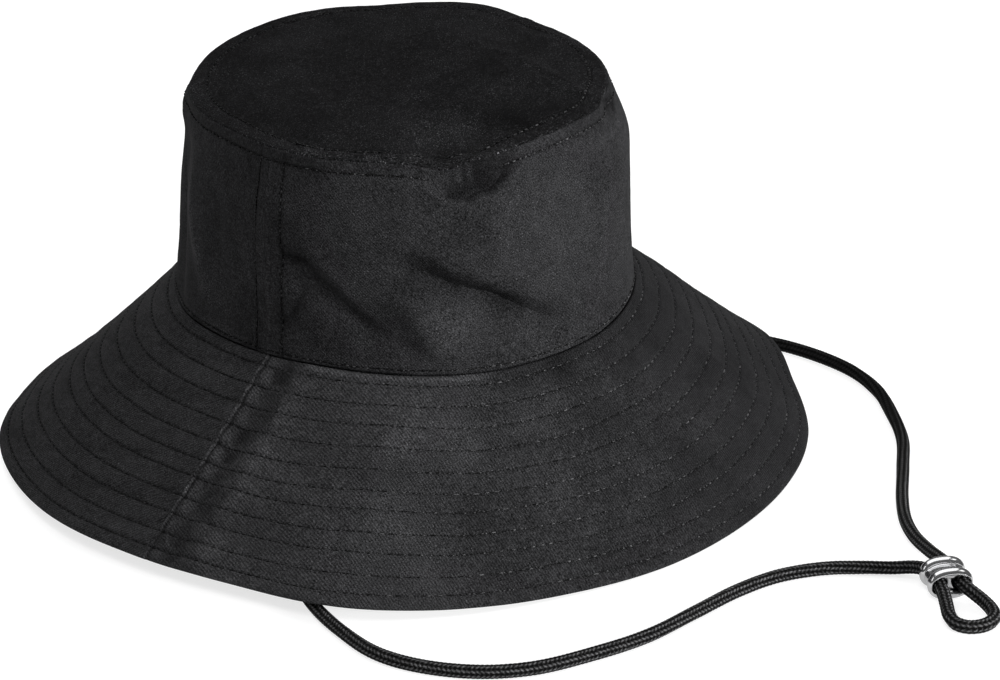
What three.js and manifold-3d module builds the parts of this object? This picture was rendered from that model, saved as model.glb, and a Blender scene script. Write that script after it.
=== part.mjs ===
// Bucket-crowned sun hat of black cloth: a round top panel, a crown side in two halves, a wide
// stitched brim in two halves, a round braided chin cord that lies loose in front of the brim, and
// a metal cord lock with two holes. Millimetres, +Z up. The hat rests on its brim edge on z = 0,
// its front faces -Y, and its side seams run down at +X and -X.
import * as THREE from "three";
import { mergeVertices } from "three/addons/utils/BufferGeometryUtils.js";
import Module from "manifold-3d";

// ---------------------------------------------------------------- driving dimensions (mm)
const CROWN_WALL = 1.2; // one cloth with its seam allowances
const BRIM_WALL = 2.4; // two cloths and the padding that the rows of stitches hold together
const SEAM_GAP = 0.3; // between neighbouring pieces
const SEAM_Z = 62; // height of the seam between crown and brim
const BULGE_POWER = 1.7; // puts the fullest part of the bulge near the top
const TOP_DOME = 1.6; // rise of the top panel in its middle
const SHOULDER_DROP = 1.1; // how far the top panel falls to its seam over the last centimetre
const LEFT_SEAM = -88; // directions of the side seams, degrees from the front
const RIGHT_SEAM = 90;
const AROUND = 60; // facets in a full turn
const MIDDLE_X = 4.2; // puts the origin under the middle of the brim's outline; the tables below
const MIDDLE_Y = 5.0; // measure from the crown's own axis
const CORD_DIAMETER = 5;
const LOCK = {
  x: 3.08, // middle of the lock on the floor
  y: -253.28,
  yaw: -40, // direction of its long axis, degrees
  width: 17.6, // along the long axis
  height: 12.6,
  depth: 13, // along the holes
  waist: 1.4, // depth of the groove between its two flanges
  lip: 1.3, // rounding of the mouth's rims
  pitch: 8.6, // between the holes
  bore: 5.7, // hole diameter
};

// The hat by direction: degrees from the front (-Y) towards the right side seam (+X).
// topR, topZ: seam between the crown side and the top panel. baseR: seam between crown and brim.
// bulge: how far the crown side stands out of a straight taper.
// edgeR, edgeZ: middle of the brim's rounded edge.
const RIBS = [
  { at: 0, topR: 76.6, topZ: 144.6, baseR: 93.7, bulge: 4.2, edgeR: 162.9, edgeZ: 1.2 },
  { at: 15, topR: 78.7, topZ: 144.5, baseR: 92.3, bulge: 4.2, edgeR: 162.5, edgeZ: 1.2 },
  { at: 30, topR: 79.3, topZ: 144.0, baseR: 91.9, bulge: 4.2, edgeR: 162.4, edgeZ: 2.1 },
  { at: 45, topR: 81.2, topZ: 143.6, baseR: 92.5, bulge: 4.0, edgeR: 159.7, edgeZ: 4.6 },
  { at: 60, topR: 83.5, topZ: 144.2, baseR: 92.2, bulge: 4.0, edgeR: 162.2, edgeZ: 7.1 },
  { at: 75, topR: 84.3, topZ: 145.0, baseR: 91.7, bulge: 4.0, edgeR: 153.9, edgeZ: 7.8 },
  { at: 90, topR: 84.5, topZ: 146.2, baseR: 91.2, bulge: 4.0, edgeR: 156.7, edgeZ: 7.8 },
  { at: 105, topR: 84.5, topZ: 149.0, baseR: 91.0, bulge: 3.6, edgeR: 158.2, edgeZ: 7.4 },
  { at: 120, topR: 84.5, topZ: 148.2, baseR: 91.2, bulge: 3.2, edgeR: 158.8, edgeZ: 6.0 },
  { at: 135, topR: 84.7, topZ: 146.8, baseR: 91.6, bulge: 3.0, edgeR: 158.4, edgeZ: 3.8 },
  { at: 150, topR: 84.8, topZ: 147.5, baseR: 92.1, bulge: 2.6, edgeR: 157.6, edgeZ: 1.9 },
  { at: 165, topR: 84.9, topZ: 147.2, baseR: 92.4, bulge: 2.2, edgeR: 156.6, edgeZ: 1.2 },
  { at: 180, topR: 84.8, topZ: 146.2, baseR: 92.4, bulge: 1.8, edgeR: 152.0, edgeZ: 1.2 },
  { at: 195, topR: 84.4, topZ: 145.4, baseR: 92.1, bulge: 1.2, edgeR: 153.5, edgeZ: 1.2 },
  { at: 210, topR: 83.9, topZ: 144.0, baseR: 91.8, bulge: 0.8, edgeR: 158.0, edgeZ: 1.9 },
  { at: 225, topR: 83.4, topZ: 143.6, baseR: 91.8, bulge: 1.0, edgeR: 163.2, edgeZ: 3.8 },
  { at: 240, topR: 81.8, topZ: 144.0, baseR: 92.0, bulge: 2.0, edgeR: 165.6, edgeZ: 5.8 },
  { at: 255, topR: 80.6, topZ: 144.8, baseR: 90.3, bulge: 3.0, edgeR: 167.0, edgeZ: 7.0 },
  { at: 270, topR: 82.7, topZ: 145.2, baseR: 89.5, bulge: 3.4, edgeR: 165.9, edgeZ: 7.6 },
  { at: 285, topR: 83.6, topZ: 145.2, baseR: 89.0, bulge: 3.8, edgeR: 167.2, edgeZ: 7.5 },
  { at: 300, topR: 82.4, topZ: 145.0, baseR: 90.4, bulge: 4.2, edgeR: 173.9, edgeZ: 7.1 },
  { at: 315, topR: 82.9, topZ: 144.6, baseR: 93.2, bulge: 4.4, edgeR: 170.3, edgeZ: 4.4 },
  { at: 330, topR: 82.0, topZ: 144.6, baseR: 94.9, bulge: 4.4, edgeR: 165.7, edgeZ: 2.1 },
  { at: 345, topR: 77.5, topZ: 144.6, baseR: 94.2, bulge: 4.2, edgeR: 164.3, edgeZ: 1.2 },
];

// Folds and dents of the crown side, as straight valleys (out < 0) and swells (out > 0).
// at, up: direction and height share (0 at the brim seam, 1 at the top seam) of the two ends.
const CROWN_FOLDS = [
  { name: "side valley", at0: 278, up0: 0.48, at1: 299, up1: 0.21, out: -2.2, wide: 6 },
  { name: "front valley, upper", at0: 310, up0: 0.5, at1: 330, up1: 0.3, out: -3.4, wide: 8 },
  { name: "front valley, lower", at0: 330, up0: 0.3, at1: 347, up1: 0.12, out: -2.8, wide: 7 },
  { name: "front swell", at0: 331, up0: 0.66, at1: 352, up1: 0.42, out: 2.0, wide: 17 },
  { name: "low swell", at0: 311, up0: 0.34, at1: 316, up1: 0.24, out: 1.8, wide: 11 },
  { name: "low hollow", at0: 305, up0: 0.22, at1: 313, up1: 0.05, out: -1.2, wide: 7 },
  { name: "rim dimple", at0: 324, up0: 0.93, at1: 328, up1: 0.85, out: -3.4, wide: 8 },
  { name: "shoulder crease", at0: 28, up0: 0.97, at1: 38, up1: 0.86, out: -1.8, wide: 6 },
  { name: "right shoulder swell", at0: 34, up0: 0.87, at1: 42, up1: 0.78, out: 2.0, wide: 13 },
  { name: "left shoulder swell", at0: 214, up0: 0.92, at1: 218, up1: 0.9, out: 1.8, wide: 6 },
  { name: "left fold", at0: 228, up0: 0.75, at1: 231, up1: 0.1, out: -1.6, wide: 8 },
  { name: "back fold", at0: 150, up0: 0.7, at1: 172, up1: 0.3, out: -2.2, wide: 10 },
  { name: "back swell", at0: 100, up0: 0.55, at1: 112, up1: 0.3, out: 1.5, wide: 14 },
];

// Dents of the top seam, which the top panel and the crown side share: lift < 0 is down.
const RIM_DENTS = [
  { name: "V dent over the front", at: 319, lift: -2.8, wide: 5.5 },
  { name: "right shoulder", at: 22, lift: -0.9, wide: 7 },
];

// Broad waves across the top panel: at, out: direction and radius of the middle; lift: height.
const TOP_WAVES = [
  { name: "hollow behind the V dent", at: 319, out: 62, lift: -1.6, wide: 18 },
  { name: "middle hollow", at: 200, out: 12, lift: -1.4, wide: 34 },
  { name: "right swell", at: 55, out: 48, lift: 1.0, wide: 24 },
];

// Waves of the brim between its two edges: at: direction; lift: height where the wave is highest,
// which is at the share `peak` of the way out.
const BRIM_WAVES = [
  { name: "left front hollow", at: 283, peak: 0.5, lift: -1.6, wide: 12 },
  { name: "left front swell", at: 303, peak: 0.5, lift: 1.2, wide: 12 },
  { name: "front hollow", at: 338, peak: 0.5, lift: -1.0, wide: 14 },
  { name: "right swell", at: 25, peak: 0.5, lift: 1.0, wide: 14 },
  { name: "right fullness", at: 58, peak: 0.25, lift: 2.7, wide: 18 },
  { name: "right hollow", at: 68, peak: 0.62, lift: -1.8, wide: 16 },
  { name: "back swell", at: 140, peak: 0.5, lift: 1.2, wide: 20 },
  { name: "left back hollow", at: 198, peak: 0.6, lift: -1.9, wide: 22 },
  { name: "left back dip", at: 198, peak: 0.25, lift: -0.8, wide: 20 },
];

// Shares of the way along each panel at which a ring of vertices runs.
const CROWN_ROWS = [0, 0.1, 0.22, 0.34, 0.46, 0.58, 0.7, 0.81, 0.9, 0.96, 1];
const BRIM_ROWS = [0, 0.16, 0.33, 0.5, 0.67, 0.84, 1];
const TOP_ROWS = [0.26, 0.5, 0.7, 0.86, 0.94, 1];
const NOSE_ANGLES = [45, 0, -45]; // round of the brim's edge

// The chin cord's middle line, from the seam at -X to the seam at +X. The two ends come out of
// the seam inside the crown, hang to the floor and run out under the brim.
const CORD_ROUTE = [
  { x: -84.9, y: -1.0, z: 64.0 },
  { x: -84.9, y: -1.6, z: 52.0 },
  { x: -87.0, y: -4.0, z: 36.0 },
  { x: -92.0, y: -9.0, z: 20.5 },
  { x: -100.5, y: -17.5, z: 9.2 },
  { x: -112.0, y: -29.0, z: 3.9 },
  { x: -126.0, y: -44.5, z: 2.7 },
  { x: -141.5, y: -61.5, z: 2.6 },
  { x: -151.3, y: -76.5, z: 2.6 },
  { x: -159.6, y: -96.0, z: 2.6 },
  { x: -164.6, y: -116.0, z: 2.6 },
  { x: -162.0, y: -135.0, z: 2.6 },
  { x: -153.0, y: -153.4, z: 2.6 },
  { x: -139.0, y: -167.6, z: 2.6 },
  { x: -117.5, y: -178.6, z: 2.6 },
  { x: -95.0, y: -186.6, z: 2.6 },
  { x: -70.0, y: -190.3, z: 2.6 },
  { x: -47.0, y: -193.5, z: 2.6 },
  { x: -28.5, y: -199.1, z: 2.6 },
  { x: -13.5, y: -209.0, z: 2.6 },
  { x: -3.4, y: -220.6, z: 2.6 },
  { x: 2.2, y: -230.4, z: 3.2 },
  { x: 5.2, y: -239.0, z: 4.9 },
  { x: 3.65, y: -245.93, z: 6.3 },
  { x: 0.11, y: -250.14, z: 6.3 },
  { x: -3.43, y: -254.35, z: 6.3 },
  { x: -7.6, y: -258.8, z: 5.6 },
  { x: -12.2, y: -262.9, z: 4.3 },
  { x: -17.0, y: -267.2, z: 3.2 },
  { x: -19.6, y: -271.6, z: 2.7 },
  { x: -19.1, y: -276.2, z: 2.6 },
  { x: -15.6, y: -279.8, z: 2.6 },
  { x: -10.6, y: -281.0, z: 2.6 },
  { x: -5.8, y: -279.6, z: 2.7 },
  { x: -2.4, y: -276.0, z: 3.0 },
  { x: -0.4, y: -271.8, z: 3.7 },
  { x: 0.4, y: -267.6, z: 4.9 },
  { x: 1.2, y: -263.6, z: 5.9 },
  { x: 3.15, y: -259.87, z: 6.3 },
  { x: 6.69, y: -255.66, z: 6.3 },
  { x: 10.23, y: -251.45, z: 6.3 },
  { x: 15.2, y: -244.4, z: 5.4 },
  { x: 21.6, y: -234.8, z: 3.8 },
  { x: 29.4, y: -223.8, z: 2.8 },
  { x: 39.5, y: -213.4, z: 2.6 },
  { x: 53.2, y: -203.5, z: 2.6 },
  { x: 77.0, y: -189.0, z: 2.6 },
  { x: 98.6, y: -175.4, z: 2.6 },
  { x: 116.0, y: -159.6, z: 2.6 },
  { x: 130.8, y: -143.4, z: 2.6 },
  { x: 140.6, y: -124.6, z: 2.6 },
  { x: 144.6, y: -102.6, z: 2.6 },
  { x: 143.4, y: -82.0, z: 2.6 },
  { x: 136.4, y: -62.5, z: 2.6 },
  { x: 125.0, y: -44.5, z: 2.7 },
  { x: 112.5, y: -29.0, z: 3.9 },
  { x: 102.0, y: -17.5, z: 9.2 },
  { x: 93.6, y: -9.0, z: 20.5 },
  { x: 88.4, y: -4.0, z: 36.0 },
  { x: 86.5, y: -1.6, z: 52.0 },
  { x: 86.5, y: -1.0, z: 64.0 },
];
const CORD_STEPS = 80;
const CORD_SIDES = 8;
const FINE_FROM = 20; // rows of CORD_ROUTE between which the tube's steps are short:
const FINE_TO = 42; // through the lock, round the loop and back
const FINE_STEP = 5;
const COARSE_STEP = 15;

// ---------------------------------------------------------------- the hat's surfaces
const DEG = Math.PI / 180;

// Difference of two directions in degrees, -180 to 180.
const turn = (a, b) => ((((a - b) % 360) + 540) % 360) - 180;

// A RIBS column at any direction, by a smooth curve through the rows that closes on itself.
function rib(at, column) {
  const n = RIBS.length;
  const u = ((((at / 360) % 1) + 1) % 1) * n;
  const i = Math.floor(u);
  const t = u - i;
  const p = [-1, 0, 1, 2].map((k) => RIBS[(i + k + n) % n][column]);
  return (
    p[1] +
    0.5 *
      t *
      (p[2] - p[0] + t * (2 * p[0] - 5 * p[1] + 4 * p[2] - p[3] + t * (3 * (p[1] - p[2]) + p[3] - p[0])))
  );
}

const hump = (d, wide) => Math.exp(-(d * d) / (wide * wide));

const rimZ = (at) =>
  rib(at, "topZ") + RIM_DENTS.reduce((s, d) => s + d.lift * hump(turn(at, d.at), d.wide), 0);

// How far the folds push the crown side out at a direction and height share.
function foldOut(at, up) {
  const r = rib(at, "baseR");
  const h = rimZ(at) - SEAM_Z;
  const keep = Math.min(1, up / 0.06) * Math.min(1, (1 - up) / 0.03 + 0.25); // the seams hold the cloth
  let out = 0;
  for (const f of CROWN_FOLDS) {
    const half = turn(f.at1, f.at0) / 2;
    const middle = turn(f.at0 + half, at); // one turn for both ends, so that no fold shows on the far side
    const ax = (middle - half) * DEG * r;
    const bx = (middle + half) * DEG * r;
    const ay = (f.up0 - up) * h;
    const by = (f.up1 - up) * h;
    const dx = bx - ax;
    const dy = by - ay;
    const t = THREE.MathUtils.clamp(-(ax * dx + ay * dy) / (dx * dx + dy * dy), 0, 1);
    const d = Math.hypot(ax + t * dx, ay + t * dy);
    out += f.out * hump(d, f.wide);
  }
  return out * keep;
}

// Each surface gives a point [r, z] in the upright plane at a direction.
function crownSide(at, up) {
  const base = rib(at, "baseR");
  const top = rib(at, "topR");
  const r =
    base + (top - base) * up + rib(at, "bulge") * Math.sin(Math.PI * Math.pow(up, BULGE_POWER)) + foldOut(at, up);
  return [r, SEAM_Z + (rimZ(at) - SEAM_Z) * up];
}

const RIM_MEAN = RIBS.reduce((s, row) => s + row.topZ, 0) / RIBS.length;

function crownTop(at, share) {
  const r = rib(at, "topR") * share;
  const x = r * Math.sin(at * DEG);
  const y = -r * Math.cos(at * DEG);
  const rim = rimZ(at) - RIM_MEAN;
  let z = RIM_MEAN + rim * Math.pow(share, 4) + TOP_DOME * (1 - share * share);
  z += SHOULDER_DROP * (1 - Math.pow(share, 14));
  for (const w of TOP_WAVES) {
    const d = Math.hypot(x - w.out * Math.sin(w.at * DEG), y + w.out * Math.cos(w.at * DEG));
    z += w.lift * hump(d, w.wide) * (1 - Math.pow(share, 6));
  }
  return [r, z];
}

function brim(at, out) {
  const a = rib(at, "baseR");
  const b = rib(at, "edgeR");
  let z = SEAM_Z + (edgeFloor(rib(at, "edgeZ")) - SEAM_Z) * out;
  for (const w of BRIM_WAVES)
    z += w.lift * hump(turn(at, w.at), w.wide) * Math.sin(Math.PI * Math.pow(out, Math.log(0.5) / Math.log(w.peak)));
  return [a + (b - a) * out, z];
}

// The middle of the brim's edge stays half a wall above the floor.
const edgeFloor = (z) => Math.max(z, BRIM_WALL / 2 + 0.02);

// ---------------------------------------------------------------- walls
const add = (p, q, k = 1) => [p[0] + k * q[0], p[1] + k * q[1]];
const unit = (p) => {
  const l = Math.hypot(p[0], p[1]);
  return [p[0] / l, p[1] / l];
};

// Unit direction along a surface's profile and the normal on its outer side.
function along(surface, at, s) {
  const e = 0.004;
  const p = surface(at, Math.max(0, s - e));
  const q = surface(at, Math.min(1, s + e));
  return unit([q[0] - p[0], q[1] - p[1]]);
}

// Inward step of a wall's end where it meets a neighbour with another normal.
function mitre(own, other, wall) {
  const m = unit(add(own, other));
  const c = m[0] * own[0] + m[1] * own[1];
  return [(-m[0] * wall) / c, (-m[1] * wall) / c];
}

const sideNormal = (at, s) => {
  const t = along(crownSide, at, s);
  return [t[1], -t[0]];
};
const topNormal = (at, s) => {
  const t = along(crownTop, at, s);
  return [-t[1], t[0]];
};
const brimNormal = (at, s) => {
  const t = along(brim, at, s);
  return [-t[1], t[0]];
};

// Closed section of the crown side: up the outer face, down the inner face.
function crownSection(at) {
  const outer = [];
  const inner = [];
  for (const s of CROWN_ROWS) {
    const n = sideNormal(at, s);
    let p = crownSide(at, s);
    let step = [-n[0] * CROWN_WALL, -n[1] * CROWN_WALL];
    if (s === 0) step = mitre(n, brimNormal(at, 0), CROWN_WALL);
    if (s === 1) step = mitre(n, topNormal(at, 1), CROWN_WALL);
    const t = along(crownSide, at, s);
    if (s === 0) p = add(p, t, SEAM_GAP * 0.6);
    if (s === 1) p = add(p, t, -SEAM_GAP * 0.6);
    outer.push(p);
    inner.push(add(p, step));
  }
  return [...outer, ...inner.reverse()];
}

// Closed section of the brim: out along the upper face, round the edge, back along the lower face.
function brimSection(at) {
  const upper = [];
  const lower = [];
  const half = BRIM_WALL / 2;
  for (const s of BRIM_ROWS) {
    const n = brimNormal(at, s);
    const t = along(brim, at, s);
    let p = brim(at, s);
    let step = [-n[0] * BRIM_WALL, -n[1] * BRIM_WALL];
    if (s === 0) {
      p = add(p, t, SEAM_GAP * 0.6);
      step = mitre(n, sideNormal(at, 0), BRIM_WALL);
    } else {
      p = add(p, n, half * s); // the table gives the middle of the edge, and the top face of the seam
    }
    upper.push(p);
    lower.push(add(p, step));
  }
  const n = brimNormal(at, 1);
  const t = along(brim, at, 1);
  const middle = brim(at, 1);
  const nose = NOSE_ANGLES.map((a) =>
    add(add(middle, t, half * Math.cos(a * DEG)), n, half * Math.sin(a * DEG)),
  );
  return [...upper, ...nose, ...lower.reverse()];
}

function toMesh(name, points, faces, material) {
  const g = new THREE.BufferGeometry();
  g.setAttribute("position", new THREE.BufferAttribute(new Float32Array(points.flat()), 3));
  g.setIndex(faces.flat());
  g.computeVertexNormals();
  const mesh = new THREE.Mesh(g, material);
  mesh.name = name;
  return mesh;
}

// Directions of the facets: the two panels between the side seams have half of them each.
const DIRECTIONS = Array.from({ length: AROUND }, (_, i) => {
  const half = AROUND / 2;
  return i < half
    ? LEFT_SEAM + ((RIGHT_SEAM - LEFT_SEAM) * i) / half
    : RIGHT_SEAM + ((LEFT_SEAM + 360 - RIGHT_SEAM) * (i - half)) / half;
});

const place = (at, [r, z]) => [r * Math.sin(at * DEG), -r * Math.cos(at * DEG), z];

// A wall swept from one direction to another, with half a seam's gap left at each end.
function sweptWall(section, from, to) {
  const steps = AROUND / 2;
  const points = [];
  let k = 0;
  for (let i = 0; i <= steps; i++) {
    const at = from + ((to - from) * i) / steps;
    const ring = section(at);
    k = ring.length;
    const shift = i === 0 ? SEAM_GAP / 2 : i === steps ? -SEAM_GAP / 2 : 0;
    for (const p of ring) {
      const q = place(at, p);
      points.push([q[0] + shift * Math.cos(at * DEG), q[1] + shift * Math.sin(at * DEG), q[2]]);
    }
  }
  const faces = [];
  for (let i = 0; i < steps; i++)
    for (let j = 0; j < k; j++) {
      const a = i * k + j;
      const b = i * k + ((j + 1) % k);
      faces.push([a, a + k, b + k], [a, b + k, b]);
    }
  return { points, faces, k, steps };
}

// End faces of a swept wall, whose section is a strip of pairs: outer j with inner k - 1 - j.
function closeStrip(wall, pairs, extra) {
  const { faces, k, steps } = wall;
  const cap = (row, flip) => {
    const id = (j) => row * k + j;
    const tri = (a, b, c) => faces.push(flip ? [a, c, b] : [a, b, c]);
    for (let j = 0; j + 1 < pairs; j++) {
      tri(id(j), id(j + 1), id(k - 2 - j));
      tri(id(j), id(k - 2 - j), id(k - 1 - j));
    }
    // the round nose past the last pair, as a fan
    for (let j = pairs - 1; j < pairs - 1 + extra; j++) tri(id(j), id(j + 1), id(k - pairs));
  };
  cap(0, false);
  cap(steps, true);
  return wall;
}

// pairs: points on each face of the section; extra: points on its round edge, where it has one,
// whose section runs the other way round, so its faces are turned.
function wallMesh(name, section, from, to, pairs, extra, material) {
  const w = closeStrip(sweptWall(section, from, to), pairs, extra);
  const faces = extra ? w.faces.map(([a, b, c]) => [a, c, b]) : w.faces;
  return toMesh(name, w.points, faces, material);
}

// The top panel: a disc with a middle point on each face.
function topMesh(name, material) {
  const points = [];
  const faces = [];
  const n = AROUND;
  const side = (under) => {
    const start = points.length;
    let middle = 0;
    for (const s of TOP_ROWS)
      for (let i = 0; i < n; i++) {
        const at = DIRECTIONS[i];
        let p = crownTop(at, s);
        const nn = topNormal(at, s);
        let step = [-nn[0] * CROWN_WALL, -nn[1] * CROWN_WALL];
        if (s === 1) {
          p = add(p, along(crownTop, at, 1), -SEAM_GAP * 0.6);
          step = mitre(nn, sideNormal(at, 1), CROWN_WALL);
        }
        points.push(place(at, under ? add(p, step) : p));
      }
    for (let i = 0; i < n; i++) middle += crownTop((i * 360) / n, 0.001)[1] / n;
    points.push([0, 0, middle - (under ? CROWN_WALL : 0)]);
    const pole = points.length - 1;
    const tri = (a, b, c) => faces.push(under ? [a, c, b] : [a, b, c]);
    for (let i = 0; i < n; i++) {
      const j = (i + 1) % n;
      tri(pole, start + i, start + j);
      for (let row = 0; row + 1 < TOP_ROWS.length; row++) {
        const a = start + row * n + i;
        const b = start + row * n + j;
        tri(a, a + n, b + n);
        tri(a, b + n, b);
      }
    }
    return start + (TOP_ROWS.length - 1) * n;
  };
  const upper = side(false);
  const lower = side(true);
  for (let i = 0; i < n; i++) {
    const j = (i + 1) % n;
    faces.push([upper + i, lower + i, lower + j], [upper + i, lower + j, upper + j]);
  }
  return toMesh(name, points, faces, material);
}

// ---------------------------------------------------------------- cord
// A smooth curve whose tube steps are short round the lock and long elsewhere.
class CordPath extends THREE.CatmullRomCurve3 {
  constructor(points) {
    super(points, false, "centripetal");
    this.arcLengthDivisions = 1200;
    const total = this.getLength();
    // the stretch that needs short steps: from behind the lock, round the loop, and back
    const from = this.lengthTo(FINE_FROM);
    const to = this.lengthTo(FINE_TO);
    const sizes = [];
    let s = 0;
    while (s < total) {
      const d = Math.max(0, from - s, s - to);
      const step = Math.min(COARSE_STEP, FINE_STEP + d * 0.5);
      sizes.push(step);
      s += step;
    }
    this.count = sizes.length;
    // scaled so that the steps end on the cord's end
    let run = 0;
    this.marks = [0, ...sizes.map((v) => (run += (v * total) / s))];
    this.marks[this.count] = total;
  }
  lengthTo(index) {
    const u = index / (this.points.length - 1);
    const lengths = this.getLengths();
    return lengths[Math.round(u * (lengths.length - 1))];
  }
  getUtoTmapping(u) {
    if (!this.marks || this.marks.length < 3) return super.getUtoTmapping(u);
    const f = u * this.count;
    const i = Math.min(this.count - 1, Math.floor(f));
    const s = this.marks[i] + (this.marks[i + 1] - this.marks[i]) * (f - i);
    return Math.min(1, super.getUtoTmapping(0, s));
  }
}

function cordMesh(name, material) {
  const path = new CordPath(CORD_ROUTE.map((p) => new THREE.Vector3(p.x, p.y, p.z)));
  const ring = new THREE.Shape(
    Array.from({ length: CORD_SIDES }, (_, i) => {
      const a = ((i + 0.5) / CORD_SIDES) * 2 * Math.PI;
      return new THREE.Vector2((CORD_DIAMETER / 2) * Math.cos(a), (CORD_DIAMETER / 2) * Math.sin(a));
    }),
  );
  const g = new THREE.ExtrudeGeometry(ring, { steps: path.count, extrudePath: path, bevelEnabled: false });
  const mesh = new THREE.Mesh(g, material);
  mesh.name = name;
  return mesh;
}

// ---------------------------------------------------------------- cord lock
// Half width of the lock's oval at a place along the holes, less the rounding and the waist.
function lockInset(s) {
  const end = Math.max(0, Math.abs(s) - (LOCK.depth / 2 - LOCK.lip));
  const round = LOCK.lip - Math.sqrt(Math.max(0, LOCK.lip * LOCK.lip - end * end));
  const groove = Math.abs(s) < LOCK.depth * 0.28 ? LOCK.waist * Math.pow(Math.cos((s / (LOCK.depth * 0.28)) * (Math.PI / 2)), 0.8) : 0;
  return round + groove;
}
const LOCK_SECTIONS = [-6.5, -6.2, -5.8, -5.2, -3.64, -2.7, -1.4, 0, 1.4, 2.7, 3.64, 5.2, 5.8, 6.2, 6.5];
const LOCK_SIDES = 32;

function ovalRing(s) {
  const inset = lockInset(s);
  const r = LOCK.height / 2 - inset;
  const straight = (LOCK.width - LOCK.height) / 2;
  return Array.from({ length: LOCK_SIDES }, (_, i) => {
    const a = ((i + 0.5) / LOCK_SIDES) * 2 * Math.PI;
    const c = Math.cos(a);
    return [straight * Math.sign(c) + r * c, s, r * Math.sin(a)];
  });
}

function lockBody() {
  const points = [];
  const faces = [];
  for (const s of LOCK_SECTIONS) points.push(...ovalRing(s));
  const n = LOCK_SIDES;
  const last = (LOCK_SECTIONS.length - 1) * n;
  for (let i = 0; i < n; i++) {
    const j = (i + 1) % n;
    for (let k = 0; k < LOCK_SECTIONS.length - 1; k++) {
      const a = k * n;
      faces.push([a + i, a + n + j, a + j], [a + i, a + n + i, a + n + j]);
    }
  }
  for (let i = 1; i < n - 1; i++) {
    faces.push([0, i, i + 1]);
    faces.push([last, last + i + 1, last + i]);
  }
  const g = new THREE.BufferGeometry();
  g.setAttribute("position", new THREE.BufferAttribute(new Float32Array(points.flat()), 3));
  g.setIndex(faces.flat());
  return g;
}

const wasm = await Module();
wasm.setup();

function solid(geometry) {
  const g = geometry.clone();
  g.deleteAttribute("normal");
  g.deleteAttribute("uv");
  const m = mergeVertices(g, 1e-4);
  return new wasm.Manifold(
    new wasm.Mesh({
      numProp: 3,
      vertProperties: new Float32Array(m.attributes.position.array),
      triVerts: new Uint32Array(m.index.array),
    }),
  );
}

function lockMesh(name, material) {
  let body = solid(lockBody());
  for (const side of [-1, 1]) {
    const hole = new THREE.CylinderGeometry(LOCK.bore / 2, LOCK.bore / 2, LOCK.depth + 4, 20);
    hole.translate((side * LOCK.pitch) / 2, 0, 0);
    body = body.subtract(solid(hole));
  }
  const m = body.getMesh();
  const g = new THREE.BufferGeometry();
  g.setAttribute("position", new THREE.BufferAttribute(new Float32Array(m.vertProperties), 3));
  g.setIndex(Array.from(m.triVerts));
  g.computeVertexNormals();
  const mesh = new THREE.Mesh(g, material);
  mesh.name = name;
  mesh.position.set(LOCK.x, LOCK.y, LOCK.height / 2);
  mesh.rotation.z = LOCK.yaw * DEG;
  return mesh;
}

// ---------------------------------------------------------------- materials
const cloth = new THREE.MeshStandardMaterial({ color: 0x26272a, roughness: 0.86, metalness: 0 });
const brimCloth = new THREE.MeshStandardMaterial({ color: 0x242528, roughness: 0.88, metalness: 0 });
const braid = new THREE.MeshStandardMaterial({ color: 0x141415, roughness: 0.7, metalness: 0 });
const nickel = new THREE.MeshStandardMaterial({ color: 0xc9cacc, roughness: 0.16, metalness: 1 });

// ---------------------------------------------------------------- the hat
const hat = new THREE.Group();
hat.name = "sun_hat";
hat.position.set(MIDDLE_X, MIDDLE_Y, 0);

const crown = new THREE.Group();
crown.add(topMesh("crown_top", cloth));
crown.add(wallMesh("crown_side_front", crownSection, LEFT_SEAM, RIGHT_SEAM, CROWN_ROWS.length, 0, cloth));
crown.add(wallMesh("crown_side_back", crownSection, RIGHT_SEAM, LEFT_SEAM + 360, CROWN_ROWS.length, 0, cloth));
hat.add(crown);

const brimGroup = new THREE.Group();
brimGroup.add(wallMesh("brim_front", brimSection, LEFT_SEAM, RIGHT_SEAM, BRIM_ROWS.length, NOSE_ANGLES.length, brimCloth));
brimGroup.add(wallMesh("brim_back", brimSection, RIGHT_SEAM, LEFT_SEAM + 360, BRIM_ROWS.length, NOSE_ANGLES.length, brimCloth));
hat.add(brimGroup);

const chin = new THREE.Group();
chin.add(cordMesh("chin_cord", braid));
chin.add(lockMesh("cord_lock", nickel));
hat.add(chin);

export default hat;
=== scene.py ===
"""Looks of the sun hat: fine cloth walls, rows of stitches, braided cord and metal lock.

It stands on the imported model. Tables are in millimetres and measure from the crown's own axis,
as in the CAD part; everything is placed in metres, +Z up.
"""

import math

import bpy
import numpy as np
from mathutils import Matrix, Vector


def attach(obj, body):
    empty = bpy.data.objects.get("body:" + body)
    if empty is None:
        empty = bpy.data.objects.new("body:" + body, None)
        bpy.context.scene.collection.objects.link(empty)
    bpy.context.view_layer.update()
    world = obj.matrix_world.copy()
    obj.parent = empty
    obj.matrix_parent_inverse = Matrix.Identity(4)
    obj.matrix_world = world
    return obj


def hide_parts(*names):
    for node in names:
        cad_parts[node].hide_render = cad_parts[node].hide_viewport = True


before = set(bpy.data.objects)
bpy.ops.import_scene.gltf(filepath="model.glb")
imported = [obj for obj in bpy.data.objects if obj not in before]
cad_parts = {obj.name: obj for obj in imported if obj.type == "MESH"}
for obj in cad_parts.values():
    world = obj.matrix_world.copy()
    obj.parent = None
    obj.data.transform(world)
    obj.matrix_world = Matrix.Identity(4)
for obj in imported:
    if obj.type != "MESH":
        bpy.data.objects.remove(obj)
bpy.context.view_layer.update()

MM = 0.001
DEG = math.pi / 180
MIDDLE = np.array([4.2, 5.0, 0.0])  # the crown's axis in the model's frame

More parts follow.
